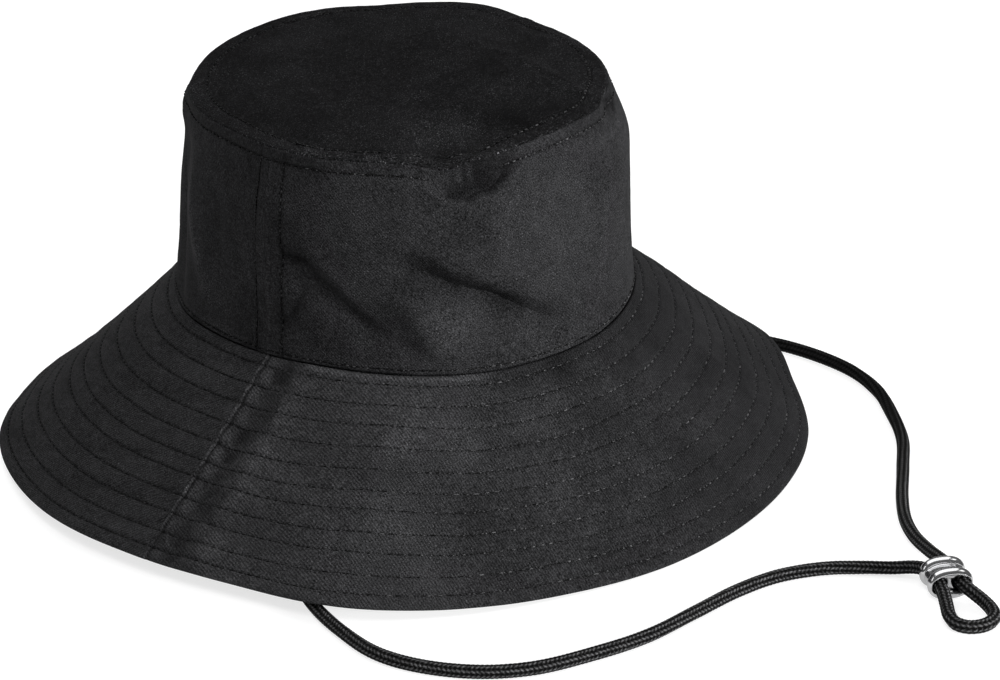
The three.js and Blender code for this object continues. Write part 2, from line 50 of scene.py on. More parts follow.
# ---------------------------------------------------------------- driving dimensions (mm)
CROWN_WALL = 1.2
BRIM_WALL = 2.4
SEAM_GAP = 0.3
SEAM_Z = 62.0
BULGE_POWER = 1.7
TOP_DOME = 1.6
SHOULDER_DROP = 1.1
LEFT_SEAM = -88.0
RIGHT_SEAM = 90.0
CORD_DIAMETER = 5.0

LOCK = {
    "x": 3.08,
    "y": -253.28,
    "yaw": -40.0,
    "width": 17.6,
    "height": 12.6,
    "depth": 13.0,
    "pitch": 8.6,
    "bore": 5.7,
}

# The hat by direction, in degrees from the front (-Y) towards the right side seam (+X).
RIB_COLUMNS = ("topR", "topZ", "baseR", "bulge", "edgeR", "edgeZ")
RIBS = [  # at 0, 15, 30 ... 345
    (76.6, 144.6, 93.7, 4.2, 162.9, 1.2),
    (78.7, 144.5, 92.3, 4.2, 162.5, 1.2),
    (79.3, 144.0, 91.9, 4.2, 162.4, 2.1),
    (81.2, 143.6, 92.5, 4.0, 159.7, 4.6),
    (83.5, 144.2, 92.2, 4.0, 162.2, 7.1),
    (84.3, 145.0, 91.7, 4.0, 153.9, 7.8),
    (84.5, 146.2, 91.2, 4.0, 156.7, 7.8),
    (84.5, 149.0, 91.0, 3.6, 158.2, 7.4),
    (84.5, 148.2, 91.2, 3.2, 158.8, 6.0),
    (84.7, 146.8, 91.6, 3.0, 158.4, 3.8),
    (84.8, 147.5, 92.1, 2.6, 157.6, 1.9),
    (84.9, 147.2, 92.4, 2.2, 156.6, 1.2),
    (84.8, 146.2, 92.4, 1.8, 152.0, 1.2),
    (84.4, 145.4, 92.1, 1.2, 153.5, 1.2),
    (83.9, 144.0, 91.8, 0.8, 158.0, 1.9),
    (83.4, 143.6, 91.8, 1.0, 163.2, 3.8),
    (81.8, 144.0, 92.0, 2.0, 165.6, 5.8),
    (80.6, 144.8, 90.3, 3.0, 167.0, 7.0),
    (82.7, 145.2, 89.5, 3.4, 165.9, 7.6),
    (83.6, 145.2, 89.0, 3.8, 167.2, 7.5),
    (82.4, 145.0, 90.4, 4.2, 173.9, 7.1),
    (82.9, 144.6, 93.2, 4.4, 170.3, 4.4),
    (82.0, 144.6, 94.9, 4.4, 165.7, 2.1),
    (77.5, 144.6, 94.2, 4.2, 164.3, 1.2),
]

# Folds and dents of the crown side: direction and height share of both ends, depth, width.
FOLD_COLUMNS = ("at0", "up0", "at1", "up1", "out", "wide")
CROWN_FOLDS = [
    (278, 0.48, 299, 0.21, -2.2, 6),  # side valley
    (310, 0.5, 330, 0.3, -3.4, 8),  # front valley, upper
    (330, 0.3, 347, 0.12, -2.8, 7),  # front valley, lower
    (331, 0.66, 352, 0.42, 2.0, 17),  # front swell
    (311, 0.34, 316, 0.24, 1.8, 11),  # low swell
    (305, 0.22, 313, 0.05, -1.2, 7),  # low hollow
    (324, 0.93, 328, 0.85, -3.4, 8),  # rim dimple
    (28, 0.97, 38, 0.86, -1.8, 6),  # shoulder crease
    (34, 0.87, 42, 0.78, 2.0, 13),  # right shoulder swell
    (214, 0.92, 218, 0.9, 1.8, 6),  # left shoulder swell
    (228, 0.75, 231, 0.1, -1.6, 8),  # left fold
    (150, 0.7, 172, 0.3, -2.2, 10),  # back fold
    (100, 0.55, 112, 0.3, 1.5, 14),  # back swell
]
# Sharper creases that only the fine mesh has: width, then direction, height share and depth
# of each place that the crease passes.
SIDE_CREASES = {
    "tuck": (1.6, [(-84.0, 0.5, -0.5), (-81.0, 0.502, -1.1), (-77.0, 0.508, -0.9), (-74.0, 0.46, -0.2)]),
    "side valley": (3.4, [(-80.0, 0.5, -0.5), (-76.0, 0.45, -1.2), (-71.4, 0.375, -1.5), (-65.4, 0.27, -1.0), (-59.0, 0.19, -0.6), (-52.0, 0.14, -0.5), (-44.0, 0.11, -0.1)]),
    "side ridge": (3.6, [(-76.0, 0.56, 0.2), (-70.0, 0.46, 0.9), (-63.5, 0.33, 0.9), (-57.0, 0.23, 0.5), (-52.0, 0.17, 0.1)]),
    "front valley": (7.4, [(-53.0, 0.5, -0.4), (-47.0, 0.455, -2.2), (-40.0, 0.38, -3.8), (-32.6, 0.302, -4.6), (-25.0, 0.22, -4.4), (-17.0, 0.14, -3.0), (-8.0, 0.085, -0.3)]),
    "front ridge": (7.0, [(-50.0, 0.63, 0.4), (-44.0, 0.59, 1.9), (-36.5, 0.51, 3.0), (-29.0, 0.425, 3.2), (-21.5, 0.345, 2.6), (-12.0, 0.25, 0.7)]),
    "bowl": (5.6, [(-46.0, 0.97, -0.8), (-41.5, 0.93, -3.6), (-35.5, 0.895, -5.4), (-30.0, 0.903, -4.7), (-24.5, 0.955, -1.3)]),
    "bowl ripple 1": (1.3, [(-41.5, 0.975, 0.2), (-39.8, 0.93, 1.3), (-38.6, 0.89, 0.3)]),
    "bowl ripple 2": (1.3, [(-36.0, 0.97, 0.2), (-35.2, 0.92, 1.5), (-34.6, 0.87, 0.3)]),
    "bowl ripple 3": (1.3, [(-30.5, 0.975, 0.2), (-30.6, 0.93, 1.4), (-31.0, 0.88, 0.3)]),
    "bowl lip": (2.8, [(-46.0, 0.935, 0.2), (-42.0, 0.865, 1.4), (-36.0, 0.815, 2.2), (-29.5, 0.825, 2.1), (-23.0, 0.9, 1.0), (-18.0, 0.955, 0.1)]),
    "right corner": (7.5, [(-36.0, 0.84, 0.3), (-31.0, 0.74, 1.9), (-30.0, 0.6, 1.7), (-31.0, 0.5, 0.2)]),
    "low corner": (6.0, [(-52.0, 0.4, 0.1), (-50.5, 0.3, 1.1), (-47.4, 0.2, 1.3), (-45.0, 0.1, 1.0), (-44.0, 0.03, 0.2)]),
    "left strip": (4.0, [(-124.0, 0.72, 0.1), (-121.5, 0.52, 0.9), (-117.0, 0.37, 1.1), (-111.0, 0.16, 0.9), (-106.0, 0.08, 0.1)]),
    "left hollow": (7.0, [(-104.0, 0.8, -0.4), (-107.0, 0.5, -0.9), (-104.0, 0.2, -0.7)]),
    "hook": (2.2, [(-76.0, 0.4, -0.1), (-78.2, 0.33, -0.9), (-80.6, 0.22, -1.0), (-84.0, 0.165, -0.7)]),
    "hook end": (2.0, [(-86.0, 0.1, 0.1), (-80.0, 0.115, 0.6), (-74.0, 0.09, 0.1)]),
    "shoulder hollow": (3.2, [(29.5, 0.99, -1.2), (32.5, 0.9, -1.9), (31.0, 0.85, -0.8)]),
    "shoulder lip": (2.2, [(22.0, 0.84, 0.2), (28.5, 0.82, 0.9), (35.0, 0.8, 0.7), (40.0, 0.84, 0.1)]),
    "shoulder spot": (3.0, [(9.0, 0.88, 0.2), (14.0, 0.865, 1.0), (19.0, 0.9, 0.3)]),
    "shoulder tuck": (1.8, [(14.0, 0.99, -0.3), (20.0, 0.92, -0.9), (25.0, 0.86, -0.3)]),
    "seam drag": (3.0, [(-70.0, 0.93, 0.2), (-60.0, 0.955, 0.7), (-52.0, 0.93, 0.2)]),
    "low fold": (2.6, [(-66.0, 0.06, -0.2), (-60.0, 0.04, -0.6), (-50.0, 0.05, -0.1)]),
    "left low fold": (2.6, [(-112.0, 0.05, -0.3), (-104.0, 0.07, -0.8), (-94.0, 0.035, -0.3)]),
    "left fold": (3.0, [(-138.0, 0.8, -0.2), (-131.0, 0.5, -0.8), (-129.0, 0.2, -0.3)]),
    "back fold": (4.0, [(150.0, 0.72, -0.2), (160.0, 0.5, -1.3), (172.0, 0.3, -0.3)]),
    "back drag": (3.2, [(196.0, 0.6, -0.1), (206.0, 0.4, -0.9), (222.0, 0.3, -0.1)]),
    "right drag": (3.4, [(64.0, 0.6, -0.2), (76.0, 0.45, -1.0), (84.0, 0.4, -0.2)]),
    "right low": (3.2, [(94.0, 0.32, -0.2), (104.0, 0.2, -0.9), (114.0, 0.1, -0.2)]),
}
# Creases of the brim's upper face: width, then direction, share from seam to edge and lift.
BRIM_CREASES = {
    "ridge A": (9.0, [(-55.0, 0.03, 0.3), (-56.0, 0.3, 1.1), (-58.0, 0.6, 1.0), (-61.0, 0.98, 0.7)]),
    "valley B": (9.0, [(-34.0, 0.08, -0.3), (-37.0, 0.3, -1.1), (-43.0, 0.6, -1.2), (-47.0, 0.95, -0.7)]),
    "ridge C": (9.0, [(-26.0, 0.3, 0.1), (-29.0, 0.6, 0.9), (-31.0, 0.95, 0.7)]),
    "spot": (5.0, [(-46.0, 0.1, 0.2), (-42.0, 0.15, 0.6), (-38.0, 0.18, 0.2)]),
    "gather": (2.4, [(-34.0, 0.035, -0.2), (-31.0, 0.045, -0.8), (-26.0, 0.07, -0.8), (-21.0, 0.1, -0.2)]),
    "seam lip": (1.5, [(-76.0, 0.018, 0.3), (-70.0, 0.02, 0.9), (-44.0, 0.02, 0.9), (-38.0, 0.018, 0.2)]),
    "seam ridge": (6.0, [(-77.0, 0.05, 0.2), (-78.6, 0.25, 0.9), (-79.8, 0.6, 1.0), (-80.4, 0.95, 0.8)]),
    "seam hollow": (4.0, [(-84.0, 0.04, -0.4), (-84.6, 0.4, -0.9), (-85.0, 0.96, -0.7)]),
    "back hollow": (5.0, [(-93.0, 0.02, -0.7), (-92.0, 0.25, -0.5), (-91.0, 0.6, -0.1)]),
    "wave 1": (5.0, [(-12.0, 0.04, 0.2), (-12.0, 0.25, 0.6), (-10.0, 0.5, 0.1)]),
    "wave 2": (5.0, [(-3.0, 0.04, -0.3), (-4.0, 0.3, -0.7), (-4.0, 0.55, -0.1)]),
    "wave 3": (5.0, [(6.0, 0.04, 0.3), (5.0, 0.3, 0.7), (5.0, 0.55, 0.1)]),
    "wave 4": (5.0, [(15.0, 0.04, -0.3), (15.0, 0.25, -0.6), (16.0, 0.5, -0.1)]),
    "wave 5": (6.0, [(27.0, 0.1, 0.2), (27.0, 0.4, 0.7), (27.0, 0.7, 0.1)]),
    "left wave": (7.0, [(-118.0, 0.05, 0.2), (-120.0, 0.4, 0.8), (-121.0, 0.9, 0.3)]),
    "left wave 2": (7.0, [(-104.0, 0.3, -0.1), (-106.0, 0.6, -0.6), (-107.0, 0.95, -0.3)]),
    "back wave": (8.0, [(168.0, 0.1, 0.2), (170.0, 0.5, 0.9), (172.0, 0.9, 0.3)]),
    "back wave 2": (8.0, [(126.0, 0.1, -0.2), (124.0, 0.5, -0.8), (123.0, 0.9, -0.3)]),
    "right ridge": (6.0, [(99.0, 0.05, 0.2), (99.0, 0.5, 0.8), (99.0, 0.95, 0.5)]),
}
# Creases of the top panel: width, then x, y and lift.
TOP_CREASES = {
    "behind the dent": (6.0, [(-37.0, -66.0, -1.6), (-26.0, -53.0, -1.5), (-12.0, -38.0, -0.3)]),
    "left of the dent": (8.0, [(-60.0, -42.0, 0.3), (-46.0, -34.0, 0.7), (-34.0, -22.0, 0.2)]),
    "right streak": (2.6, [(47.0, 4.0, 0.1), (40.0, -43.0, 0.6), (32.0, -70.0, 0.5)]),
    "dark line": (3.0, [(-22.0, -58.0, -0.3), (-8.0, -70.0, -0.7), (10.0, -74.0, -0.5)]),
    "far band": (4.5, [(68.0, -19.0, 0.3), (72.0, 2.0, 0.8), (68.0, 22.0, 0.7), (56.0, 44.0, 0.2)]),
    "left line": (4.0, [(-66.0, 20.0, -0.2), (-72.0, -4.0, -0.5), (-66.0, -28.0, -0.2)]),
    "slack": (16.0, [(-30.0, 26.0, -0.5), (6.0, 12.0, -0.9), (30.0, 30.0, -0.3)]),
}

RIM_DENTS = [(319, -2.8, 5.5), (22, -0.9, 7)]  # direction, lift, width
TOP_WAVES = [(319, 62, -1.6, 18), (200, 12, -1.4, 34), (55, 48, 1.0, 24)]  # direction, radius, lift, width
BRIM_WAVES = [  # direction, share of the highest place, lift, width
    (283, 0.5, -1.6, 12),
    (303, 0.5, 1.2, 12),
    (338, 0.5, -1.0, 14),
    (25, 0.5, 1.0, 14),
    (58, 0.25, 2.7, 18),
    (68, 0.62, -1.8, 16),
    (140, 0.5, 1.2, 20),
    (198, 0.6, -1.9, 22),
    (198, 0.25, -0.8, 20),
]

# Painted light and shade on the cloth, as a factor on its colour: on the brim by direction, and in round patches.
BRIM_PAINTED_LIGHT = [  # direction, factor
    (-180, 0.95),
    (-120, 0.98),
    (-88, 1.12),
    (-74, 1.36),
    (-62, 1.34),
    (-52, 1.18),
    (-44, 1.0),
    (-34, 0.95),
    (-8, 0.69),
    (18, 0.58),
    (60, 0.62),
    (110, 0.85),
    (180, 0.95),
]
BRIM_PAINTED_PATCHES = [  # direction, share, change, width in mm
    (-40, 0.24, 0.3, 20),
    (-26, 0.08, -0.38, 9),
    (-15, 0.06, -0.32, 8),
    (-24, 0.2, 0.24, 10),
    (-8, 0.2, 0.14, 9),
    (-40, 0.52, -0.12, 18),
    (-55, 0.36, 0.14, 16),
    (-63, 0.55, 0.12, 22),
    (-36, 0.8, -0.18, 20),
    (-86, 0.7, -0.2, 12),
    (8, 0.5, 0.12, 18),
]
# Painted light and shade in round patches on the crown's side.
SIDE_PAINTED_PATCHES = [  # direction, share, change, width round and width up in mm
    (-36.0, 0.9, -0.45, 11.0, 5.0),
    (-28.0, 0.915, -0.4, 8.0, 4.6),
    (-33.0, 0.972, -0.4, 8.0, 3.0),
    (-25.5, 0.982, -0.4, 8.0, 2.6),
    (-36.8, 0.952, 0.9, 1.6, 4.0),
    (-33.9, 0.95, 0.9, 1.3, 3.6),
    (-42.0, 0.955, 0.3, 4.0, 3.0),
    (33.5, 0.93, -0.8, 8.0, 5.0),
    (31.0, 0.855, 0.55, 9.0, 2.2),
    (13.0, 0.868, 0.35, 8.0, 3.0),
    (-52.0, 0.94, 0.2, 16.0, 3.0),
    (-17.0, 0.62, 0.16, 26.0, 36.0),
    (-42.0, 0.68, -0.08, 13.0, 18.0),
    (-66.0, 0.62, 0.1, 20.0, 26.0),
    (-43.0, 0.22, 0.46, 14.0, 14.0),
    (-27.0, 0.12, -0.1, 12.0, 12.0),
    (-53.0, 0.1, -0.1, 7.0, 9.0),
    (-98.0, 0.5, -0.12, 10.0, 40.0),
]
# Painted light and shade along lines on the crown's side: width, then direction, height share and change.
SIDE_PAINTED_SHADES = {
    "front valley": (4.6, [(-52.0, 0.575, -0.08), (-46.0, 0.53, -0.28), (-36.5, 0.432, -0.42), (-29.0, 0.347, -0.42), (-21.5, 0.265, -0.36), (-12.0, 0.17, -0.12)]),
    "side valley": (2.6, [(-80.0, 0.5, -0.3), (-77.0, 0.5, -0.35), (-71.4, 0.405, -0.2), (-65.4, 0.29, -0.12), (-58.0, 0.2, -0.1), (-51.0, 0.15, -0.22), (-46.0, 0.12, -0.2), (-43.0, 0.07, -0.1)]),
    "bowl": (2.8, [(-43.0, 0.925, -0.25), (-40.0, 0.89, -0.55), (-34.8, 0.862, -0.6), (-29.0, 0.875, -0.5), (-23.5, 0.92, -0.4), (-19.0, 0.955, -0.15)]),
    "bowl lip": (1.5, [(-46.0, 0.915, 0.2), (-41.5, 0.862, 0.55), (-36.0, 0.83, 0.65), (-30.0, 0.835, 0.4), (-24.0, 0.885, 0.2)]),
    "left strip": (3.0, [(-126.0, 0.8, 0.2), (-122.6, 0.564, 0.9), (-117.8, 0.396, 0.9), (-112.6, 0.2, 0.4)]),
    "hook": (1.8, [(-77.0, 0.4, -0.1), (-78.5, 0.32, -0.35), (-81.0, 0.22, -0.35), (-85.0, 0.165, -0.2)]),
    "tuck": (1.4, [(-84.5, 0.5, -0.2), (-81.0, 0.503, -0.5), (-77.0, 0.505, -0.4)]),
}
# Painted light and shade in round patches on the top panel.
TOP_PAINTED_PATCHES = [  # x, y, change, width in mm
    (-33.0, -44.0, 0.75, 14),
    (-24.0, -55.0, 0.5, 10),
    (-11.0, -60.0, -0.35, 12),
    (12.0, -72.0, -0.3, 14),
    (62.0, 18.0, 0.3, 20),
    (46.0, -34.0, 0.3, 7),
    (-62.0, 2.0, -0.15, 24),
    (6.0, 14.0, -0.12, 30),
    (-50.0, -58.0, -0.2, 10),
]

# Rows of stitches
BRIM_ROWS = (0.05, 0.144, 0.238, 0.337, 0.436, 0.528, 0.608, 0.705, 0.789, 0.881, 0.958)
SIDE_ROW = {1: 6.9, -1: 4.9}  # from the side seam to the row on its front side and its back side
RIM_ROW_DOWN = 4.4  # from the top seam down to the row on the crown side
RIM_ROW_IN = 7.0  # from the top seam in to the row on the top panel
FOOT_ROW = 1.8  # from the brim seam up to the row on the crown side
PITCH = 3.9
THREAD = 0.32  # thread's radius

CORD_ROUTE = [
    (-84.9, -1.0, 64.0),
    (-84.9, -1.6, 52.0),
    (-87.0, -4.0, 36.0),
    (-92.0, -9.0, 20.5),
    (-100.5, -17.5, 9.2),
    (-112.0, -29.0, 3.9),
    (-126.0, -44.5, 2.7),
    (-141.5, -61.5, 2.6),
    (-151.3, -76.5, 2.6),
    (-159.6, -96.0, 2.6),
    (-164.6, -116.0, 2.6),
    (-162.0, -135.0, 2.6),
    (-153.0, -153.4, 2.6),
    (-139.0, -167.6, 2.6),
    (-117.5, -178.6, 2.6),
    (-95.0, -186.6, 2.6),
    (-70.0, -190.3, 2.6),
    (-47.0, -193.5, 2.6),
    (-28.5, -199.1, 2.6),
    (-13.5, -209.0, 2.6),
    (-3.4, -220.6, 2.6),
    (2.2, -230.4, 3.2),
    (5.2, -239.0, 4.9),
    (3.65, -245.93, 6.3),
    (0.11, -250.14, 6.3),
    (-3.43, -254.35, 6.3),
    (-7.6, -258.8, 5.6),
    (-12.2, -262.9, 4.3),
    (-17.0, -267.2, 3.2),
    (-19.6, -271.6, 2.7),
    (-19.1, -276.2, 2.6),
    (-15.6, -279.8, 2.6),
    (-10.6, -281.0, 2.6),
    (-5.8, -279.6, 2.7),
    (-2.4, -276.0, 3.0),
    (-0.4, -271.8, 3.7),
    (0.4, -267.6, 4.9),
    (1.2, -263.6, 5.9),
    (3.15, -259.87, 6.3),
    (6.69, -255.66, 6.3),
    (10.23, -251.45, 6.3),
    (15.2, -244.4, 5.4),
    (21.6, -234.8, 3.8),
    (29.4, -223.8, 2.8),
    (39.5, -213.4, 2.6),
    (53.2, -203.5, 2.6),
    (77.0, -189.0, 2.6),
    (98.6, -175.4, 2.6),
    (116.0, -159.6, 2.6),
    (130.8, -143.4, 2.6),
    (140.6, -124.6, 2.6),
    (144.6, -102.6, 2.6),
    (143.4, -82.0, 2.6),
    (136.4, -62.5, 2.6),
    (125.0, -44.5, 2.7),
    (112.5, -29.0, 3.9),
    (102.0, -17.5, 9.2),
    (93.6, -9.0, 20.5),
    (88.4, -4.0, 36.0),
    (86.5, -1.6, 52.0),
    (86.5, -1.0, 64.0),
]

# ---------------------------------------------------------------- camera
AZIMUTH, ELEVATION, DISTANCE, LENS = -53 * DEG, 24.9 * DEG, 1600.0, 142.63
aim = np.array([22.893, -30.380, 34.0]) + MIDDLE
back = np.array(
    [
        math.sin(AZIMUTH) * math.cos(ELEVATION),
        -math.cos(AZIMUTH) * math.cos(ELEVATION),
        math.sin(ELEVATION),
    ]
)
camera_data = bpy.data.cameras.new("camera")
camera_data.lens = LENS
camera_data.sensor_width = 36
camera_data.sensor_fit = "HORIZONTAL"
camera_data.clip_start = 0.05
camera_data.clip_end = 30
camera = bpy.data.objects.new("camera", camera_data)
camera.location = (aim + DISTANCE * back) * MM
camera.rotation_euler = Vector(-back).to_track_quat("-Z", "Y").to_euler()
bpy.context.scene.collection.objects.link(camera)
bpy.context.scene.camera = camera


# ---------------------------------------------------------------- meshes
def new_mesh(name, points, faces, material, uv=None, weave=None):
    """points in mm from the crown's axis; faces as a list of index tuples; uv per face corner."""
    mesh = bpy.data.meshes.new(name)
    mesh.from_pydata(((np.asarray(points) + MIDDLE) * MM).tolist(), [], faces)
    if uv is not None:
        layer = mesh.uv_layers.new(name="OFBake")
        layer.data.foreach_set("uv", np.asarray(uv, np.float32).ravel())
    if weave is not None:
        made = mesh.attributes.new("weave", "FLOAT_VECTOR", "POINT" if len(weave) == len(points) else "CORNER")
        made.data.foreach_set("vector", np.asarray(weave, np.float32).ravel())
    mesh.polygons.foreach_set("use_smooth", np.ones(len(mesh.polygons), bool))
    mesh.materials.append(material)
    mesh.update()
    obj = bpy.data.objects.new(name, mesh)
    bpy.context.scene.collection.objects.link(obj)
    return obj


def tube_mesh(name, centres, ring_offsets, material, strips=8):
    """A tube through centres (n, 3) with its rings' offsets (n, k, 3), closed by round ends."""
    n, k = ring_offsets.shape[:2]
    points = (centres[:, None, :] + ring_offsets).reshape(-1, 3)
    i = np.arange(n - 1)[:, None]
    j = np.arange(k)[None, :]
    a = i * k + j
    b = i * k + (j + 1) % k
    quads = np.stack([a, b, b + k, a + k], -1).reshape(-1, 4)
    # the map: the tube's length is cut into strips that lie side by side
    per = math.ceil((n - 1) / strips)
    strip = i // per
    v0 = (i % per) / per
    v1 = (i % per + 1) / per
    u0 = (strip + 0.02 + 0.96 * j / k) / strips
    u1 = (strip + 0.02 + 0.96 * (j + 1) / k) / strips
    o = np.zeros_like(u0)
    uv = np.stack(
        [
            np.stack([u0, 0.02 + 0.96 * v0 + o], -1),
            np.stack([u1, 0.02 + 0.96 * v0 + o], -1),
            np.stack([u1, 0.02 + 0.96 * v1 + o], -1),
            np.stack([u0, 0.02 + 0.96 * v1 + o], -1),
        ],
        2,
    ).reshape(-1, 2)
    faces = [tuple(q) for q in quads.tolist()]
    uvs = [uv]
    extra = []
    along = np.concatenate([[0], np.cumsum(np.linalg.norm(np.diff(centres, axis=0), axis=1))])
    s0, s1 = along[:-1, None] + 0 * j, along[1:, None] + 0 * j
    t0, t1 = j / k + 0 * i, (j + 1) / k + 0 * i
    nothing = np.zeros_like(s0)
    weave = [
        np.stack(
            [np.stack([s0, t0, nothing], -1), np.stack([s0, t1, nothing], -1), np.stack([s1, t1, nothing], -1), np.stack([s1, t0, nothing], -1)],
            2,
        ).reshape(-1, 3)
    ]
    for end, sign in ((0, -1), (n - 1, 1)):
        t = centres[end] - centres[end - sign]
        t = t / np.linalg.norm(t)
        pole = len(points) + len(extra)
        extra.append(centres[end] + t * 0.8)
        ring = [end * k + q for q in range(k)]
        for q in range(k):
            tri = (ring[q], ring[(q + 1) % k], pole)
            faces.append(tri if sign > 0 else (tri[1], tri[0], tri[2]))
            c = 0.004 + 0.006 * (end > 0)
            uvs.append(np.array([[c, 0.001], [c + 0.002, 0.001], [c + 0.001, 0.004]]))
            weave.append(np.array([[along[end], q / k, 0], [along[end], (q + 1) / k, 0], [along[end] + 0.8 * sign, q / k, 0]]))
    points = np.vstack([points, extra])
    return new_mesh(name, points, faces, material, uv=np.vstack(uvs), weave=np.vstack(weave))


def zipper(a, ta, b, tb):
    """Triangles between two open rows of vertex numbers, by their places 0 to 1."""
    out = []
    i = j = 0
    while i < len(a) - 1 or j < len(b) - 1:
        if j == len(b) - 1 or (i < len(a) - 1 and ta[i + 1] <= tb[j + 1]):
            out.append((a[i], a[i + 1], b[j]))
            i += 1
        else:
            out.append((a[i], b[j + 1], b[j]))
            j += 1
    return out


def wall_mesh(name, grid, outer_count, weave, material, flip):
    """A closed wall from grid (columns, section points, 3). Its section runs along the outer
    face, outer_count points, and back along the inner one. The two ends are closed."""
    cols, k = grid.shape[:2]
    i = np.arange(cols - 1)[:, None]
    j = np.arange(k)[None, :]
    a = i * k + j
    b = i * k + (j + 1) % k
    quads = np.stack([a, a + k, b + k, b], -1).reshape(-1, 4)
    width = 0.965
    u0 = width * i / (cols - 1) + 0 * j
    u1 = width * (i + 1) / (cols - 1) + 0 * j
    v0 = 0 * i + j / k
    v1 = 0 * i + (j + 1) / k
    uv = np.stack(
        [np.stack([u0, v0], -1), np.stack([u1, v0], -1), np.stack([u1, v1], -1), np.stack([u0, v1], -1)],
        2,
    )
    if flip:
        quads = quads[:, ::-1]
        uv = uv[:, :, ::-1]
    faces = [tuple(q) for q in quads.tolist()]
    uvs = [uv.reshape(-1, 2)]
    outer = list(range(outer_count))
    inner = list(range(k - 1, outer_count - 1, -1))
    ta = np.linspace(0, 1, len(outer))
    tb = np.linspace(0, 1, len(inner))
    place_of = {}
    for q, t in zip(outer, ta):
        place_of[q] = (0.0, t)
    for q, t in zip(inner, tb):
        place_of[q] = (1.0, t)
    for end, x0 in ((0, 0.972), (cols - 1, 0.987)):
        for t in zipper(outer, ta, inner, tb):
            turned = (end == 0) == flip
            t = t if turned else t[::-1]
            faces.append(tuple(end * k + q for q in t))
            uvs.append(np.array([[x0 + 0.01 * place_of[q][0], 0.002 + 0.99 * place_of[q][1]] for q in t]))
    return new_mesh(name, grid.reshape(-1, 3), faces, material, uv=np.vstack(uvs), weave=weave.reshape(-1, 3))


# ---------------------------------------------------------------- smooth noise
def lattice(seed, size=64):
    return np.random.default_rng(seed).uniform(-1, 1, (size, size))


LATTICES = {}


def noise(u, v, seed):
    """Smooth noise in -1 to 1 with a cell of 1."""
    if seed not in LATTICES:
        LATTICES[seed] = lattice(seed)
    g = LATTICES[seed]
    n = g.shape[0]
    u, v = np.broadcast_arrays(np.asarray(u, float), np.asarray(v, float))
    i, j = np.floor(u).astype(int), np.floor(v).astype(int)
    x, y = u - i, v - j
    x = x * x * x * (x * (6 * x - 15) + 10)
    y = y * y * y * (y * (6 * y - 15) + 10)
    a = g[i % n, j % n] * (1 - x) + g[(i + 1) % n, j % n] * x
    b = g[i % n, (j + 1) % n] * (1 - x) + g[(i + 1) % n, (j + 1) % n] * x
    return a * (1 - y) + b * y


# ---------------------------------------------------------------- the hat's surfaces
TABLE = {c: np.array([row[q] for row in RIBS]) for q, c in enumerate(RIB_COLUMNS)}


def rib(at, column):
    c = TABLE[column]
    n = len(c)
    u = (np.asarray(at, float) / 360 % 1) * n
    i = np.floor(u).astype(int)
    t = u - i
    p = [c[(i + q) % n] for q in (-1, 0, 1, 2)]
    return p[1] + 0.5 * t * (
        p[2] - p[0] + t * (2 * p[0] - 5 * p[1] + 4 * p[2] - p[3] + t * (3 * (p[1] - p[2]) + p[3] - p[0]))
    )


def spaced(length, features, coarse, fine, reach=1.2):
    """Places 0 to length, close together around each feature and wider between them."""
    x = np.linspace(0, length, 20001)
    near = np.min(np.abs(x[:, None] - np.asarray(features)[None, :]), 1)
    step = fine + (coarse - fine) * smooth((near - reach) / (2.5 * reach))
    run = np.concatenate([[0], np.cumsum(0.5 * (1 / step[1:] + 1 / step[:-1]) * np.diff(x))])
    return np.interp(np.linspace(0, run[-1], int(math.ceil(run[-1])) + 1), run, x)


def turn(a, b):
    return ((a - b) % 360 + 540) % 360 - 180


def hump(d, wide):
    return np.exp(-(d * d) / (wide * wide))


def smooth(x):
    x = np.clip(x, 0, 1)
    return x * x * (3 - 2 * x)


def crease(x_of, y_of, wide, line):
    """A soft-topped crease along a line of places (u, v, lift); x_of(u) and y_of(v) give the
    distances in mm to a place."""
    best = None
    for (u0, v0, f0), (u1, v1, f1) in zip(line[:-1], line[1:]):
        ax, ay = x_of(u0), y_of(v0)
        dx, dy = x_of(u1) - ax, y_of(v1) - ay
        t = np.clip(-(ax * dx + ay * dy) / (dx * dx + dy * dy + 1e-9), 0, 1)
        d = np.hypot(ax + t * dx, ay + t * dy)
        lift = f0 + (f1 - f0) * t
        if best is None:
            best = [d, lift]
        else:
            nearer = d < best[0]
            best = [np.where(nearer, d, best[0]), np.where(nearer, lift, best[1])]
    soft = 0.45 * wide
    return best[1] * np.exp(-(np.sqrt(best[0] ** 2 + soft**2) - soft) / (0.62 * wide))


def side_creases(at, up):
    r, h = rib(at, "baseR"), rim_z(at) - SEAM_Z
    keep = np.minimum(1, up / 0.05) * np.minimum(1, (1 - up) / 0.03 + 0.2)
    out = 0
    for wide, line in SIDE_CREASES.values():
        centre = line[len(line) // 2][0]
        away = turn(centre, at)
        out = out + crease(lambda u: (away + turn(u, centre)) * DEG * r, lambda v: (v - up) * h, wide, line)
    return out * keep


def brim_creases(at, out):
    r = rib(at, "baseR") + (rib(at, "edgeR") - rib(at, "baseR")) * out
    lift = 0
    for wide, line in BRIM_CREASES.values():
        centre = line[len(line) // 2][0]
        away = turn(centre, at)
        lift = lift + crease(lambda u: (away + turn(u, centre)) * DEG * r, lambda v: (v - out) * 92.0, wide, line)
    return lift * np.minimum(1, out / 0.015) * (0.45 + 0.55 * smooth((1 - out) / 0.12))


def rim_z(at):
    return rib(at, "topZ") + sum(lift * hump(turn(at, d), wide) for d, lift, wide in RIM_DENTS)


